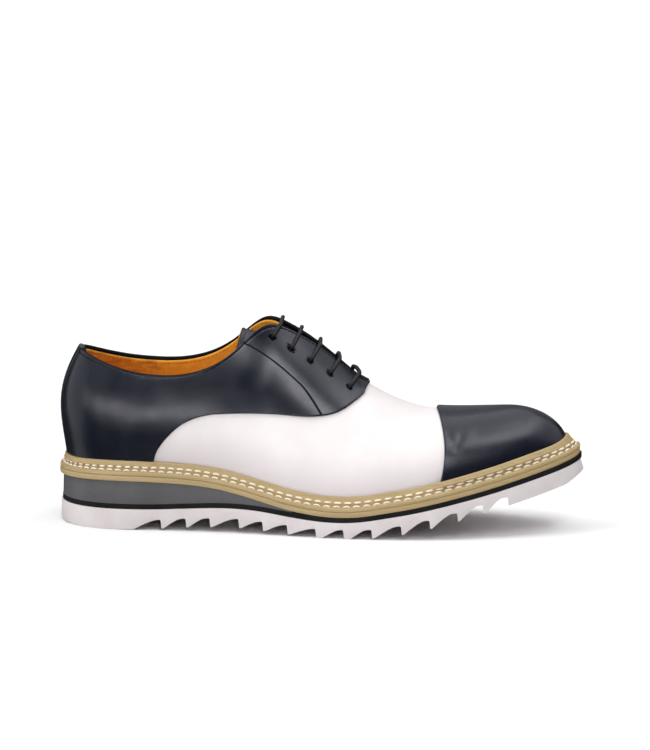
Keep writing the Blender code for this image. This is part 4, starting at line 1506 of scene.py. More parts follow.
@dataclass
class Quarters:
    """The black quarters from the heel to the facing seam, and the facings up to the lacing."""

    last: LastShape
    finishes: Finishes
    seam_front_x: float = 177.0
    samples: int = 160
    columns_back: int = 120
    columns_facing: int = 70
    rows_back: int = 26
    rows_facing: int = 26
    bright_turns: int = 3
    top_row: StitchRow = StitchRow(2.3, 0.74, 0.24, 0.06)

    def __post_init__(self) -> None:
        """Sets up the panel cutter, the seam's height and the stitches along the top edges."""
        self.panel = Panel(self.last)
        self.stitches = Skin()
        self.seam_height = Curve(column(VAMP_SEAM, "x"), column(VAMP_SEAM, "z"))

    def facing_seam(self, side: Side) -> Array:
        """(section, t) along the facing seam, from the vamp seam up to the topline."""
        points = smooth_line(np.array(FACING_SEAM), 12)
        places = self.last.place_on_wall(points[:, 0], points[:, 1], side)
        places[-1] = (self.last.place_on_ridge(FACING_SEAM[-1].x), 1.0)
        places[0] = self.last.place_on_wall(FACING_SEAM[0].x, self.seam_height(FACING_SEAM[0].x), side)
        return self.along(places, side, np.linspace(0.0, 1.0, self.samples))

    def vamp_seam(self, side: Side, start: float, end: float) -> Array:
        """(section, t) along the vamp seam between two x positions."""
        x = start + (end - start) * np.linspace(0.0, 1.0, 220) ** 2
        places = self.last.place_on_wall(x, self.seam_height(x), side)
        places[:, 1] = np.maximum(places[:, 1], self.last.overlay_foot)
        return places

    def along(self, places: Array, side: Side, shares: Array) -> Array:
        """Places at given shares of the length of a line on the wall."""
        lengths = lengths_along(self.last.wall(places[:, 0], places[:, 1], side))
        return read_along(places, lengths, shares * lengths[-1])

    def patch(
        self, low: Array, high: Array, shares: Array, first: Array | None, last: Array | None
    ) -> Array:
        """Fills a patch between a low and a high line, bent to meet its end lines.

        Args:
            low: Places along the low edge, one for each share.
            high: Places along the high edge.
            shares: Share of the way along for each column.
            first: Places up the first edge, or None where it is straight.
            last: Places up the last edge, or None.

        Returns:
            (section, t) grid, a line of places for each column.
        """
        up = np.linspace(0.0, 1.0, self.samples)[None, :, None]
        grid = low[:, None] * (1 - up) + high[:, None] * up
        if first is not None:
            grid = grid + ((1 - shares) ** 3)[:, None, None] * (first - grid[0])[None]
        if last is not None:
            grid = grid + (shares**3)[:, None, None] * (last - grid[-1])[None]
        return grid

    def back_places(self, side: Side) -> Array:
        """(section, t) grid of the quarter behind the facing seam."""
        seam = self.facing_seam(side)
        rise = self.vamp_seam(side, VAMP_SEAM[0].x, FACING_SEAM[0].x)
        feather = np.stack((np.linspace(0.0, rise[0, 0], 60), np.full(60, self.last.overlay_foot)), axis=-1)
        rise[0, 1] = self.last.overlay_foot
        low = np.concatenate((feather[:-1], rise))
        high = np.stack((np.linspace(0.0, seam[-1, 0], 200), np.ones(200)), axis=-1)
        shares = spread(100.0, (0.0, 0.3, 0.6, 1.0), self.panel.edge_marks[:7], self.columns_back) / 100.0
        low_line, high_line = self.along(low, side, shares), self.along(high, side, shares)
        low_line[-1] = seam[0]
        return self.patch(low_line, high_line, shares, None, seam)

    def facing_places(self, side: Side) -> Array:
        """(section, t) grid of the facing, from its seam to the front of the throat."""
        seam = self.facing_seam(side)
        low = self.vamp_seam(side, FACING_SEAM[0].x, self.seam_front_x)
        high = np.stack((np.linspace(seam[-1, 0], self.last.quarter_front, 300), np.ones(300)), axis=-1)
        marks = self.panel.edge_marks
        shares = spread(70.0, marks[:7], marks[:7], self.columns_facing) / 70.0
        low_line, high_line = self.along(low, side, shares), self.along(high, side, shares)
        low_line[0] = seam[0]
        return self.patch(low_line, high_line, shares, seam, None)

    def faces(self, places: Array, side: Side, rows: int, seam_first: bool, seam_last: bool) -> PanelFaces:
        """Points of a panel with rolled edges and a folded top.

        Args:
            places: (section, t) grid.
            side: Which side of the shoe.
            rows: Even steps between the marked rows.
            seam_first: True where the first column is a free edge.
            seam_last: True where the last column is a free edge.

        Returns:
            Its faces, its fold and the line sewn along its top.
        """
        last, panel = self.last, self.panel
        marks = panel.edge_marks
        places = panel.respace(places, side, marks[:7], marks, rows)
        section, t = places[..., 0], places[..., 1]
        wall = last.wall(section, t, side)
        normal = last.normal(section, t, side)
        low = lengths_along(wall, axis=1)
        high = low[:, -1:] - low
        edges = [low]
        across = lengths_along(wall, axis=0)
        if seam_first:
            edges.append(across)
        if seam_last:
            edges.append(across[-1:] - across)
        height = panel.thickness * np.minimum.reduce([panel.roll(edge) for edge in edges])
        folded = 1 - smoothstep(last.throat_end - 0.25, last.throat_end, section[:, -1:])
        height = height - panel.channel(high) * folded
        height = height - np.add.reduce([crease.at(wall) for crease in QUARTER_CREASES])
        outer = wall + normal * (panel.lift + height)[..., None]
        inner = wall + normal * panel.lift
        up = unit(wall[:, -1] - wall[:, -2])
        edge_share = height[:, -1:] / panel.thickness
        rim = [outer[:, -1]]
        for turn in FOLDED_RIM:
            off = mix(panel.lift + height[:, -1], turn.off * edge_share[:, 0], folded[:, 0])
            rise = turn.rise * folded[:, 0]
            rim.append(wall[:, -1] + normal[:, -1] * off[:, None] + up * rise[:, None])
        row = -1 - marks.index(panel.stitch_inset)
        sewn = folded[:, 0] > 0.9
        return PanelFaces(outer, inner, np.stack(rim, axis=1), outer[sewn, row], normal[sewn, row])

    def build_panel(
        self, name: str, grids: dict[Side, Array], rows: int, is_facing: bool
    ) -> Piece:
        """Makes one panel on both sides of the shoe, joined at the heel or at the front of the throat.

        Args:
            name: Name of the piece.
            grids: Places for each side.
            rows: Even steps between the marked rows.
            is_facing: True for the facings, False for the quarters behind them.

        Returns:
            The piece.
        """
        skin = Skin()
        for side, places in grids.items():
            faces = self.faces(places, side, rows, is_facing, True)
            ridge = places[:, -1, 0] >= self.last.throat_end
            skin.add_shell(faces.outer, faces.inner, open_first=not is_facing, open_high=True)
            bright = self.bright_turns if is_facing else 0
            skin.add_grid(faces.rim[:, : bright + 1], finish=0)
            skin.add_grid(faces.rim[:, bright:], finish=1)
            closed = ~(ridge & is_facing)
            top = np.stack((faces.rim[:, -1], faces.inner[:, -1]), axis=1)
            skin.add_grid(top, finish=1, keep=closed[:-1] & closed[1:])
            for at in (0, -1) if is_facing else (-1,):
                root = np.repeat(faces.inner[at, -1:], faces.rim.shape[1], axis=0)
                skin.add_grid(np.stack((faces.rim[at], root), axis=1), finish=1)
            self.top_row.sew(self.stitches, faces.sewn, faces.sewn_out)
        return dress(skin.make(name), self.finishes.black_leather, self.finishes.black_edge)

    def build(self) -> Piece:
        """Makes and dresses the quarters and the facings.

        Returns:
            The facings, still to be punched and fitted.
        """
        back = {side: self.back_places(side) for side in Side}
        facing = {side: self.facing_places(side) for side in Side}
        quarters = self.build_panel("black_quarters", back, self.rows_back, False)
        facings = self.build_panel("black_facings", facing, self.rows_facing, True)
        stitches = dress(self.stitches.make("topline_stitches"), self.finishes.black_thread)
        fit(quarters, Slot.OVERLAY, "quarters")
        fit(stitches, None)
        return facings


@dataclass
class BackStrip:
    """The narrow strip that covers the back seam and folds over the collar."""

    last: LastShape
    finishes: Finishes
    half_width: float = 6.5
    thickness: float = 0.75
    base: float = 1.55
    edge_round: float = 0.6
    edge_share: float = 0.15
    sink: float = 0.3
    fold_thinning: float = 0.55
    fold_depth: float = 0.8
    fold_top: float = 0.5
    columns: int = 16
    rows: int = 50
    fold: tuple[RimTurn, ...] = tuple(RimTurn(*turn) for turn in (
        (2.3, 0.1), (2.2, 0.6), (1.8, 0.95), (0.8, 1.1), (-0.6, 1.05),
        (-1.7, 0.85), (-2.3, 0.2), (-2.6, -1.2), (-2.5, -3.2), (-2.2, -4.0),
    ))

    def build(self) -> None:
        """Makes and dresses the strip."""
        last = self.last
        skin = Skin()
        shares = np.sin(np.linspace(0.0, 1.0, self.columns + 1) * math.pi / 2)
        t = mix(last.overlay_foot, 1.0, np.linspace(0.0, 1.0, self.rows + 1))
        fine = np.linspace(0.0, 2.5, 200)
        for side in Side:
            lines = []
            for height in t:
                run = lengths_along(last.wall(fine, height, side))
                lines.append(np.interp(shares * self.half_width, run, fine))
            section = np.stack(lines, axis=1)
            places_t = np.broadcast_to(t, section.shape)
            wall = last.wall(section, places_t, side)
            normal = last.normal(section, places_t, side)
            edge = self.half_width * (1 - shares)[:, None]
            roll = rolled(edge, self.edge_round)
            outer = wall + normal * (self.base + self.thickness * mix(self.edge_share, 1.0, roll))[..., None]
            inner = wall + normal * (self.base - self.sink)
            up = unit(wall[:, -1] - wall[:, -2])
            thin = mix(self.fold_thinning, 0.0, roll)
            rim = [
                wall[:, -1]
                + normal[:, -1] * (turn.off - thin * np.sign(turn.off))
                + up * (turn.rise - thin * (turn.rise > 0))
                for turn in self.fold
            ]
            outer = np.concatenate((outer, np.stack(rim, axis=1)), axis=1)
            under = [
                wall[:, -1]
                + normal[:, -1] * (turn.off - self.fold_depth * np.sign(turn.off))
                + up * min(turn.rise - self.fold_depth, self.fold_top)
                for turn in self.fold
            ]
            inner = np.concatenate((inner, np.stack(under, axis=1)), axis=1)
            skin.add_shell(outer, inner, open_first=True)
        fit(dress(skin.make("back_strip"), self.finishes.black_leather), Slot.OVERLAY)


@dataclass
class ToeCap:
    """The black toe cap, laid over the vamp with a rolled edge."""

    last: LastShape
    finishes: Finishes
    bow: float = 0.23
    bow_lean: float = 0.75
    bow_power: float = 1.3
    rows: int = 56
    steps_per_section: int = 14
    edge_sections: tuple[float, ...] = (0.0, 0.003, 0.009, 0.018, 0.03, 0.045, 0.06, 0.08, 0.1)

    def bow_at(self, t: Array) -> Array:
        """How far the cap seam bows forward, in sections: none at foot and ridge."""
        return self.bow * np.maximum(np.sin(math.pi * t**self.bow_lean), 0.0) ** self.bow_power

    def build(self) -> None:
        """Makes and dresses the cap."""
        last, panel = self.last, Panel(self.last)
        start, end = last.cap_seam, last.end
        edge = start + np.array(self.edge_sections)
        even = np.linspace(start, end, int((end - start) * self.steps_per_section) + 1)
        steps = np.unique(np.round(np.concatenate((edge, even)), 6))
        steps = steps[(steps <= edge[-1]) | (steps > edge[-1] + 0.01)]
        t = mix(last.overlay_foot, 1.0, np.linspace(0.0, 1.0, self.rows + 1))
        skin = Skin()
        for side in Side:
            section = steps[:, None] + ((end - steps) / (end - start))[:, None] * self.bow_at(t)[None]
            places_t = np.broadcast_to(t, section.shape)
            wall = last.wall(section, places_t, side)
            normal = last.normal(section, places_t, side)
            across = lengths_along(wall, axis=0)
            height = panel.thickness * panel.roll(across)
            height = height - np.add.reduce([crease.at(wall) for crease in CAP_CREASES])
            outer = wall + normal * (panel.lift + height)[..., None]
            inner = wall + normal * panel.lift
            skin.add_shell(outer, inner, open_last=True, open_high=True)
        fit(dress(skin.make("black_toe_cap"), self.finishes.black_leather), Slot.OVERLAY, "toe_cap")


@dataclass
class Vamp:
    """The white vamp and the tan lining: the whole hollow upper under the black panels."""

    last: LastShape
    finishes: Finishes
    wall: float = 1.0
    lining_face: float = 1.8
    vamp_drop: float = 2.2
    lining_drop: float = 1.1
    stitch_sink: float = 0.3
    stay_back: tuple[float, float] = (118.0, 127.0)
    stay_front: float = 174.0
    stay_depth: float = 16.0
    stay_margin: float = 2.5
    heel_seam_x: float = 57.6
    seam_step: float = 0.35
    stitch_inset: float = 2.6
    stitch_depth: float = 0.2
    stitch_width: float = 0.35
    steps_per_section: int = 10
    rows: int = 40
    row_power: float = 1.35
    drop_reach: float = 6.0
    soft_edge: float = 0.5
    # heights above the welt over which the painted shade fades out
    foot_tint: tuple[float, float] = (3.0, 34.0)
    lining_row: StitchRow = StitchRow(2.6, 0.7, 0.3, 0.12)

    def shell(self, outer_off: float, inner: Callable[[Array, Array], Array], drop: float) -> Skin:
        """A ring-shaped shell round the whole last.

        Args:
            outer_off: Distance of the outer face off the wall.
            inner: Distance of the inner face inside the wall, from its x and its distance from the top.
            drop: How far the top edge stays below the wall's top.

        Returns:
            The gathered patches.
        """
        skin = Skin()
        steps = self.last.even_sections(self.steps_per_section)
        rows_up = 1 - (1 - np.linspace(0.0, 1.0, self.rows + 1)) ** self.row_power
        section, t = np.meshgrid(steps, rows_up, indexing="ij")
        for side in Side:
            wall = self.last.wall(section, t, side)
            normal = self.last.normal(section, t, side)
            run = lengths_along(wall, axis=1)
            below = run[:, -1:] - run
            opened = 1 - smoothstep(self.last.throat_end - 0.3, self.last.throat_end, section)
            up = unit(wall[:, -1] - wall[:, -2])
            fall = drop * opened * np.clip(1 - below / self.drop_reach, 0.0, 1.0)
            wall = wall - up[:, None] * fall[..., None]
            outer = wall + normal * outer_off
            face = wall - normal * inner(wall[..., 0], below)[..., None]
            closed = steps >= self.last.throat_end
            skin.add_shell(outer, face, open_first=True, open_last=True, open_high=closed)
        return skin

    def lining_depth(self, x: Array, below: Array) -> Array:
        """How far inside the wall the lining lies: a step at the heel seam and a sewn line at the top."""
        front = smoothstep(self.heel_seam_x - 0.2, self.heel_seam_x + 0.4, x)
        line = soft_line(below - self.stitch_inset, self.stitch_width)
        face = mix(self.lining_face - self.soft_edge, self.lining_face, smoothstep(0.0, 0.8, below))
        return face + self.seam_step * front - self.stitch_depth * line

    def build(self) -> tuple[Piece, Piece]:
        """Makes and dresses the vamp and the lining.

        Returns:
            The vamp, still to be punched, and the lining.
        """
        finishes = self.finishes
        vamp = self.shell(0.0, lambda x, below: np.full_like(x, self.wall), self.vamp_drop).make("white_vamp")
        dress(vamp, finishes.white_leather, finishes.black_edge)
        lining = self.shell(-self.wall - 0.02, self.lining_depth, self.lining_drop).make("tan_lining")
        dress(lining, finishes.front_lining, finishes.heel_lining, finishes.black_edge)
        fit(vamp, Slot.VAMP, "upper")
        fit(lining, Slot.LINING)
        self.sew_lining()
        return vamp, lining

    def sew_lining(self) -> None:
        """Makes and dresses the row of stitches inside the collar."""
        panel, skin = Panel(self.last), Skin()
        sections = np.linspace(0.0, self.last.facing_top, 240)
        for side in Side:
            section, t = np.meshgrid(sections, np.linspace(0.75, 1.0, 40), indexing="ij")
            grid = np.stack((section, t), axis=-1)
            places = panel.respace(grid, side, (0.0,), (0.0, self.stitch_inset), 4)[:, -2]
            wall = self.last.wall(places[:, 0], places[:, 1], side)
            inward = -self.last.normal(places[:, 0], places[:, 1], side)
            depth = self.lining_depth(wall[:, 0], np.full(len(wall), self.stitch_inset)) - self.stitch_sink
            self.lining_row.sew(skin, wall + inward * depth[:, None], inward)
        fit(dress(skin.make("lining_stitches"), self.finishes.lining_thread), Slot.LINING)

    def shade_foot(self, vamp: Piece) -> None:
        """Keeps on each point of the vamp how near it lies to the welt, for the painted shade there.

        Args:
            vamp: The punched vamp.
        """
        x, _, z = places_of(vamp.data.vertices, "co").T
        above = z - self.last.sole.midsole_top(x) - self.last.sole.layer_gap
        near = (1 - smoothstep(*self.foot_tint, above)).astype(np.float32)
        vamp.data.attributes.new("foot", "FLOAT", "POINT").data.foreach_set("value", near)

    def split(self, vamp: Piece, lining: Piece) -> None:
        """Gives the lining its suede heel, and both shells the black stays behind the facings.

        Args:
            vamp: The punched vamp, with white and stay finishes in that order.
            lining: The lining, with front, heel and stay finishes in that order.
        """
        seam = Curve(column(VAMP_SEAM, "x"), column(VAMP_SEAM, "z"))
        for obj, stay_finish in ((vamp, 1), (lining, 2)):
            x, y, z = places_of(obj.data.polygons, "center").T
            sections = np.linspace(self.last.facing_top, self.last.end, 400)
            ridge = np.interp(x, self.last.read["top_x"](sections), self.last.read["top_z"](sections))
            lowest = np.maximum(ridge - self.stay_depth, seam(x) + self.stay_margin)
            stay = (x > np.where(y < 0, *self.stay_back)) & (x < self.stay_front) & (z > lowest)
            rest = (x < self.heel_seam_x) & (obj is lining)
            finish = np.where(stay, stay_finish, np.where(rest, 1, 0)).astype(np.int32)
            obj.data.polygons.foreach_set("material_index", finish)


@dataclass
class Sock:
    """The tan sock that covers the insole."""

    last: LastShape
    finishes: Finishes
    thickness: float = 3.0
    clearance: float = 2.35
    steps_per_section: int = 8
    steps_across: int = 14
    edge_rise: float = 0.8
    sharp_degrees: float = 60.0

    def build(self) -> None:
        """Makes and dresses the sock."""
        last, sole = self.last, self.last.sole
        steps = last.even_sections(self.steps_per_section)
        rims = {}
        for side in Side:
            foot = last.wall(steps, 0.0, side)
            z = sole.midsole_top(foot[:, 0]) + sole.layer_gap + self.thickness
            t = last.height_on_wall(steps, z, side)
            rims[side] = last.skin(steps, t, side, -self.clearance)
        share = np.linspace(0.0, 1.0, self.steps_across + 1)
        lateral, medial = rims[Side.LATERAL][:, None], rims[Side.MEDIAL][:, None]
        line = lateral * (1 - share)[:, None] + medial * share[:, None]
        base = sole.midsole_top(line[..., 0]) + sole.layer_gap
        top = line.copy()
        top[..., 2] = base + self.thickness + self.edge_rise * (2 * share - 1) ** 6
        bottom = line.copy()
        bottom[..., 2] = base
        skin = Skin()
        skin.add_shell(top, bottom, open_first=True, open_last=True)
        sock = skin.make("tan_sock", self.sharp_degrees)
        fit(dress(sock, self.finishes.front_lining), Slot.LINING, "insole")


@dataclass
class Tongue:
    """The black tongue under the lacing, with a sewn line near its edge and a tan back."""

    finishes: Finishes
    thickness: float = 1.6
    middle: float = -0.4
    roundness: float = 1.8
    steps_along: int = 90
    steps_across: int = 64
    edge_round: float = 0.8
    edge_share: float = 0.8
    stitch_inset: float = 2.2
    stitch_depth: float = 0.25
    stitch_width: float = 0.35

    def face(self) -> Array:
        """Points of the outer face, a line across for each step along."""
        index = np.arange(len(TONGUE_ROWS))
        at = np.linspace(0.0, index[-1], self.steps_along + 1)
        read = {name: Curve(index, column(TONGUE_ROWS, name)) for name in TongueRow._fields}
        crest = np.stack((read["x"](at), np.full_like(at, self.middle), read["z"](at)), axis=-1)
        back = unit(np.gradient(crest, axis=0))
        out = np.stack((back[:, 2], np.zeros_like(at), -back[:, 0]), axis=-1)
        across = np.sin(np.linspace(-1.0, 1.0, self.steps_across + 1) * math.pi / 2)
        fall = np.abs(across) ** self.roundness
        wing = read["half_width"](at)[:, None] * across
        points = crest[:, None] - out[:, None] * (read["drop"](at)[:, None] * fall)[..., None]
        points[..., 1] += wing
        return points

    def build(self) -> None:
        """Makes and dresses the tongue."""
        face = self.face()
        along, across = np.gradient(face, axis=0), np.gradient(face, axis=1)
        normal = unit(np.cross(along, across))
        normal *= np.sign(normal[len(face) // 2, face.shape[1] // 2, 2])
        sideways = lengths_along(face, axis=1)
        edge = np.minimum(sideways, sideways[:, -1:] - sideways)
        run = lengths_along(face, axis=0)
        edge = np.minimum(edge, run[-1:] - run)
        roll = self.thickness / 2 * (1 - rolled(edge, self.edge_round)) * self.edge_share
        line = self.stitch_depth * soft_line(edge - self.stitch_inset, self.stitch_width)
        outer = face - normal * (roll + line)[..., None]
        inner = face - normal * (self.thickness - roll)[..., None]
        skin = Skin()
        skin.add_shell(outer, inner, inner_finish=1)
        tongue = dress(skin.make("black_tongue"), self.finishes.black_leather, self.finishes.front_lining)
        fit(tongue, Slot.OVERLAY, "tongue")


@dataclass
class Lacing:
    """The punched eyelets and the five bars of waxed lace through them."""

    last: LastShape
    finishes: Finishes
    hole_radius: float = 2.15
    hole_facets: int = 28
    cut_finish: int = 1
    punch_length: float = 14.0
    rim_radius: float = 0.24
    rim_height: float = 0.144
    rim_sink: float = 0.12
    rim_facets: int = 10
    lace_radius: float = 1.25
    lace_clearance: float = 0.25
    lace_dip: float = 3.2
    lace_lift: float = 0.5
    lace_shift: float = 1.1
    bar_shares: tuple[float, ...] = (0.22, 0.5, 0.78)
    strands: int = 4
    strand_pitch: float = 3.4
    strand_relief: float = 0.07
    sides: int = 24
    ring_step: float = 0.32

    def eyelet(self, eyelet: Eyelet, side: Side) -> tuple[Array, Array]:
        """Middle and outward direction of an eyelet on the last."""
        section, t = self.last.place_on_wall(eyelet.x, eyelet.z, side)
        return self.last.wall(section, t, side), self.last.normal(section, t, side)

    def punch(self, pieces: Sequence[Piece]) -> None:
        """Cuts the eyelets through the given pieces.

        Args:
            pieces: Vamp and facings.
        """
        shape = bmesh.new()
        for eyelet in EYELETS:
            for side in Side:
                centre, normal = self.eyelet(eyelet, side)
                turn = Vector(normal).to_track_quat("Z", "Y").to_matrix().to_4x4()
                spot = Vector((centre - FOOTPRINT_MIDDLE) * MM)
                bmesh.ops.create_cone(
                    shape,
                    cap_ends=True,
                    segments=self.hole_facets,
                    radius1=self.hole_radius * MM,
                    radius2=self.hole_radius * MM,
                    depth=self.punch_length * MM,
                    matrix=Matrix.Translation(spot) @ turn,
                )
        mesh = bpy.data.meshes.new("eyelet_punch")
        shape.to_mesh(mesh)
        shape.free()
        finish = np.full(len(mesh.polygons), self.cut_finish, np.int32)
        mesh.polygons.foreach_set("material_index", finish)
        rods = put("eyelet_punch", mesh)
        for piece in pieces:
            cut = piece.modifiers.new("eyelets", "BOOLEAN")
            cut.operation = "DIFFERENCE"
            cut.object = rods
            cut.solver = "EXACT"
            bpy.context.view_layer.update()
            evaluated = piece.evaluated_get(bpy.context.evaluated_depsgraph_get())
            punched = bpy.data.meshes.new_from_object(evaluated)
            piece.modifiers.clear()
            piece.data = punched
        bpy.data.objects.remove(rods)

    def build_rims(self) -> None:
        """Makes and dresses the turned edges of the eyelets."""
        skin = Skin()
        angle = np.linspace(0.0, 2 * math.pi, self.hole_facets, endpoint=False)
        for eyelet in EYELETS:
            for side in Side:
                centre, normal = self.eyelet(eyelet, side)
                across = unit(np.cross(normal, (0.0, 1.0, 0.0)))
                other = np.cross(normal, across)
                spokes = across * np.cos(angle)[:, None] + other * np.sin(angle)[:, None]
                rings = []
                for turn in np.arange(self.rim_facets) * 2 * math.pi / self.rim_facets:
                    reach = self.hole_radius + self.rim_radius * math.cos(turn)
                    lift = self.last.overlay_top - self.rim_sink + self.rim_height * math.sin(turn)
                    rings.append(centre + spokes * reach + normal * lift)
                skin.add_grid(np.stack(rings, axis=1), closed_along=True, closed_across=True)
        fit(dress(skin.make("eyelet_edges"), self.finishes.black_leather), Slot.OVERLAY)

    def half_bar(self, eyelet: Eyelet, side: Side) -> list[Array]:
        """Control points of a lace bar from inside its eyelet up to the ridge."""
        last = self.last
        centre, normal = self.eyelet(eyelet, side)
        stand_off = last.overlay_top + self.lace_radius + self.lace_clearance
        back = eyelet.hook if side is Side.MEDIAL else 0.0
        ridge = last.place_on_ridge(eyelet.ridge_x - back)
        ridge_z = float(last.read["top_z"](ridge))
        shift = unit(last.skin(ridge, 1.0, side, 0.0) - centre) * self.lace_shift
        points = [
            centre - normal * self.lace_dip + shift / 2,
            centre + normal * (last.overlay_top + self.lace_lift) + shift,
        ]
        for share in self.bar_shares:
            x = mix(eyelet.x, eyelet.ridge_x - back, share)
            place = last.place_on_wall(x, mix(eyelet.z, ridge_z, share), side)
            points.append(last.skin(place[0], place[1], side, stand_off))
        points.append(last.skin(ridge, 1.0, side, stand_off))
        return points

    def build_bar(self, number: int, eyelet: Eyelet) -> None:
        """Makes and dresses one bar of lace.

        Args:
            number: Its number, counted from the top of the throat.
            eyelet: The eyelets that it joins.
        """
        lateral, medial = self.half_bar(eyelet, Side.LATERAL), self.half_bar(eyelet, Side.MEDIAL)
        crest = (lateral[-1] + medial[-1]) / 2 + np.array((0.0, 0.0, eyelet.crest))
        path = smooth_line(np.array(lateral + [crest] + medial[::-1]), 16)
        lengths = lengths_along(path)
        at = np.arange(0.0, lengths[-1], self.ring_step)
        path = read_along(path, lengths, at)
        angle = np.arange(self.sides) * 2 * math.pi / self.sides
        twist = 2 * math.pi * at[:, None] / self.strand_pitch
        one = np.cos(self.strands * angle[None] + twist)
        two = np.cos(self.strands * angle[None] - twist)
        radii = self.lace_radius * (1 - self.strand_relief + self.strand_relief * np.maximum(one, two))
        skin = Skin()
        add_tube(skin, path, radii, self.sides)
        fit(dress(skin.make(f"waxed_lace_{number}"), self.finishes.lace), Slot.LACE, f"lace_bar_{number}")

    def build(self, pieces: Sequence[Piece]) -> None:
        """Punches the eyelets and makes their edges and the lace.

        Args:
            pieces: Vamp and facings.
        """
        self.punch(pieces)
        self.build_rims()
        for number, eyelet in enumerate(EYELETS, start=1):
            self.build_bar(number, eyelet)


@dataclass
class BarTack:
    """The block of stitches that closes the front end of the throat."""

    last: LastShape
    finishes: Finishes
    front_x: float = 178.4
    back_x: float = 173.8
    reach: float = 5.6
    lean: float = 1.2
    threads: int = 5
    thread_radius: float = 0.5
    proud: float = 1.9
    steps: int = 9
    sides: int = 8
    lowest: float = 0.6
    samples: int = 80

    def half(self, x: float, side: Side) -> Array:
        """Points of one thread from the ridge down one side."""
        section = np.full(self.samples, self.last.place_on_ridge(x))
        t = np.linspace(1.0, self.lowest, self.samples)
        wall = self.last.wall(section, t, side)
        down = np.linspace(0.0, self.reach, self.steps)
        at = np.interp(down, lengths_along(wall), t)
        spots = self.last.skin(section[0], at, side, np.full(self.steps, self.proud))
        spots[:, 0] -= self.lean * down / self.reach
        spots[-1] -= self.last.normal(section[0], at[-1], side) * self.thread_radius
        return spots

    def build(self) -> None:
        """Makes and dresses the bar tack."""
        skin = Skin()
        for x in np.linspace(self.back_x, self.front_x, self.threads):
            lateral, medial = self.half(x, Side.LATERAL), self.half(x, Side.MEDIAL)
            path = np.concatenate((lateral[::-1], medial[1:]))
            add_tube(skin, path, np.full(len(path), self.thread_radius), self.sides)
        fit(dress(skin.make("throat_bar_tack"), self.finishes.black_thread), None)


class Shows(Enum):
    """Where a light shows: everywhere, only in matt shading, or only in reflections."""

    ALL = "all"
    MATT = "matt"
    MIRRORED = "mirrored"


class SoftSun(NamedTuple):
    """A far, wide light: its place on the sky in degrees, its width, its strength, and where it shows."""

    name: str
    azimuth: float
    elevation: float
    width: float
    strength: float
    shows: Shows = Shows.ALL


SOFT_SUNS = (
    SoftSun("key_panel", -74.0, 48.0, 36.0, 1.07, Shows.MATT),
    SoftSun("facing_panel", 14.0, 45.5, 21.0, 0.66),
    SoftSun("cap_strip_1", 55.0, 65.0, 18.0, 0.13),
    SoftSun("cap_strip_2", 77.0, 70.0, 16.0, 0.065),
    SoftSun("cap_strip_3", 105.0, 69.0, 16.0, 0.065),
    SoftSun("toe_strip", 84.0, 57.0, 14.0, 0.045),
    SoftSun("toe_panel", 112.0, 40.0, 50.0, 0.36),
    SoftSun("overhead_panel", 180.0, 81.0, 70.0, 1.1),
    SoftSun("overhead_fill", 180.0, 81.0, 70.0, 0.76, Shows.MATT),
    SoftSun("back_panel", 180.0, 28.0, 50.0, 0.15),
    SoftSun("heel_panel", -97.0, 12.0, 70.0, 0.66, Shows.MIRRORED),
    SoftSun("heel_top_panel", -45.0, 45.0, 36.0, 0.15, Shows.MIRRORED),
    SoftSun("low_strip_1", -56.0, 12.0, 20.0, 0.12),
    SoftSun("low_strip_2", -36.0, 11.0, 19.0, 0.24),
    SoftSun("low_strip_3", -16.0, 12.0, 17.0, 0.28),
    SoftSun("low_strip_4", 0.0, 5.8, 11.0, 0.22),
)


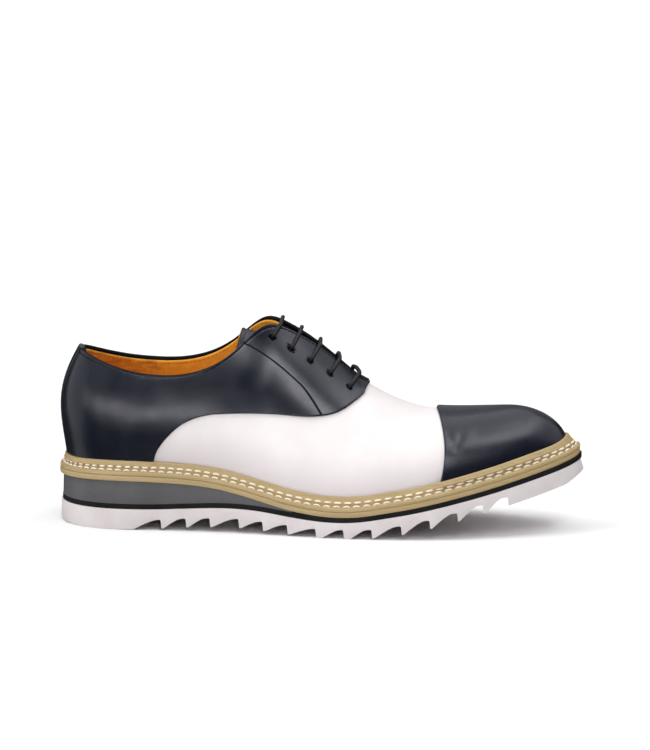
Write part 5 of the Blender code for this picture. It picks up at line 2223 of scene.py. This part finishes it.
@dataclass
class Studio:
    """Floor, light and camera."""

    floor_size: float = 30.0
    sky: float = 0.035
    lens: float = 1000.0
    sensor: float = 36.0
    clip_end: float = 100.0
    view_height: float = 0.438
    elevation: float = 9.5
    roll: float = 1.15
    aim: tuple[float, float, float] = (0.0007, 0.0, 0.0875)
    suns: tuple[SoftSun, ...] = SOFT_SUNS

    def build(self) -> None:
        """Sets up the whole studio."""
        self.build_floor()
        self.build_lights()
        self.build_camera()

    def build_floor(self) -> None:
        """Lays the plain pale floor."""
        mesh = bpy.data.meshes.new("studio_floor")
        half = self.floor_size / 2
        corners = [(-half, -half, 0.0), (half, -half, 0.0), (half, half, 0.0), (-half, half, 0.0)]
        mesh.from_pydata(corners, [], [(0, 1, 2, 3)])
        floor = dress(put("studio_floor", mesh), PaleFloor().make())
        floor.visible_glossy = False

    def build_lights(self) -> None:
        """Sets the wide soft lights and the plain sky."""
        for sun in self.suns:
            data = bpy.data.lights.new(sun.name, "SUN")
            data.energy = sun.strength
            data.angle = math.radians(sun.width)
            turn, rise = math.radians(sun.azimuth), math.radians(sun.elevation)
            level = math.cos(rise)
            towards = Vector((math.sin(turn) * level, -math.cos(turn) * level, math.sin(rise)))
            light = put(sun.name, data)
            light.visible_glossy = sun.shows is not Shows.MATT
            light.visible_diffuse = sun.shows is not Shows.MIRRORED
            light.rotation_mode = "QUATERNION"
            light.rotation_quaternion = (-towards).to_track_quat("-Z", "Y")
        world = bpy.data.worlds.new("plain_sky")
        world.use_nodes = True
        backdrop = world.node_tree.nodes["Background"]
        backdrop.inputs["Color"].default_value = (1.0, 1.0, 1.0, 1.0)
        backdrop.inputs["Strength"].default_value = self.sky
        bpy.context.scene.world = world
        bpy.context.scene.view_settings.view_transform = "Standard"

    def build_camera(self) -> None:
        """Stands the camera at the side of the shoe, a little above it and a little rolled."""
        data = bpy.data.cameras.new("side_camera")
        data.lens = self.lens
        data.sensor_width = self.sensor
        data.clip_end = self.clip_end
        camera = put("side_camera", data)
        tilt = math.radians(self.elevation)
        back = Vector((0.0, -math.cos(tilt), math.sin(tilt)))
        camera.location = Vector(self.aim) + back * (self.view_height * self.lens / self.sensor)
        camera.rotation_mode = "QUATERNION"
        lean = Quaternion((0.0, 0.0, 1.0), math.radians(self.roll))
        camera.rotation_quaternion = (-back).to_track_quat("-Z", "Y") @ lean
        bpy.context.scene.camera = camera


def main() -> None:
    """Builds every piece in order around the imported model."""
    logging.basicConfig(level=logging.INFO, format="%(name)s %(message)s")
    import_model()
    for name in START_UP_OBJECTS:
        if name in bpy.data.objects:
            bpy.data.objects.remove(bpy.data.objects[name])
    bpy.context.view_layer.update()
    sole = SoleShape()
    last = LastShape(sole)
    finishes = Finishes()
    Studio().build()
    SoleStack(sole, finishes).build()
    Welt(last, finishes).build()
    Sock(last, finishes).build()
    upper = Vamp(last, finishes)
    vamp, lining = upper.build()
    facings = Quarters(last, finishes).build()
    BackStrip(last, finishes).build()
    ToeCap(last, finishes).build()
    Tongue(finishes).build()
    Lacing(last, finishes).build((vamp, facings))
    upper.split(vamp, lining)
    # Paints shade onto the white vamp near the welt.
    upper.shade_foot(vamp)
    fit(facings, Slot.OVERLAY)
    BarTack(last, finishes).build()


if __name__ == "__main__":
    main()
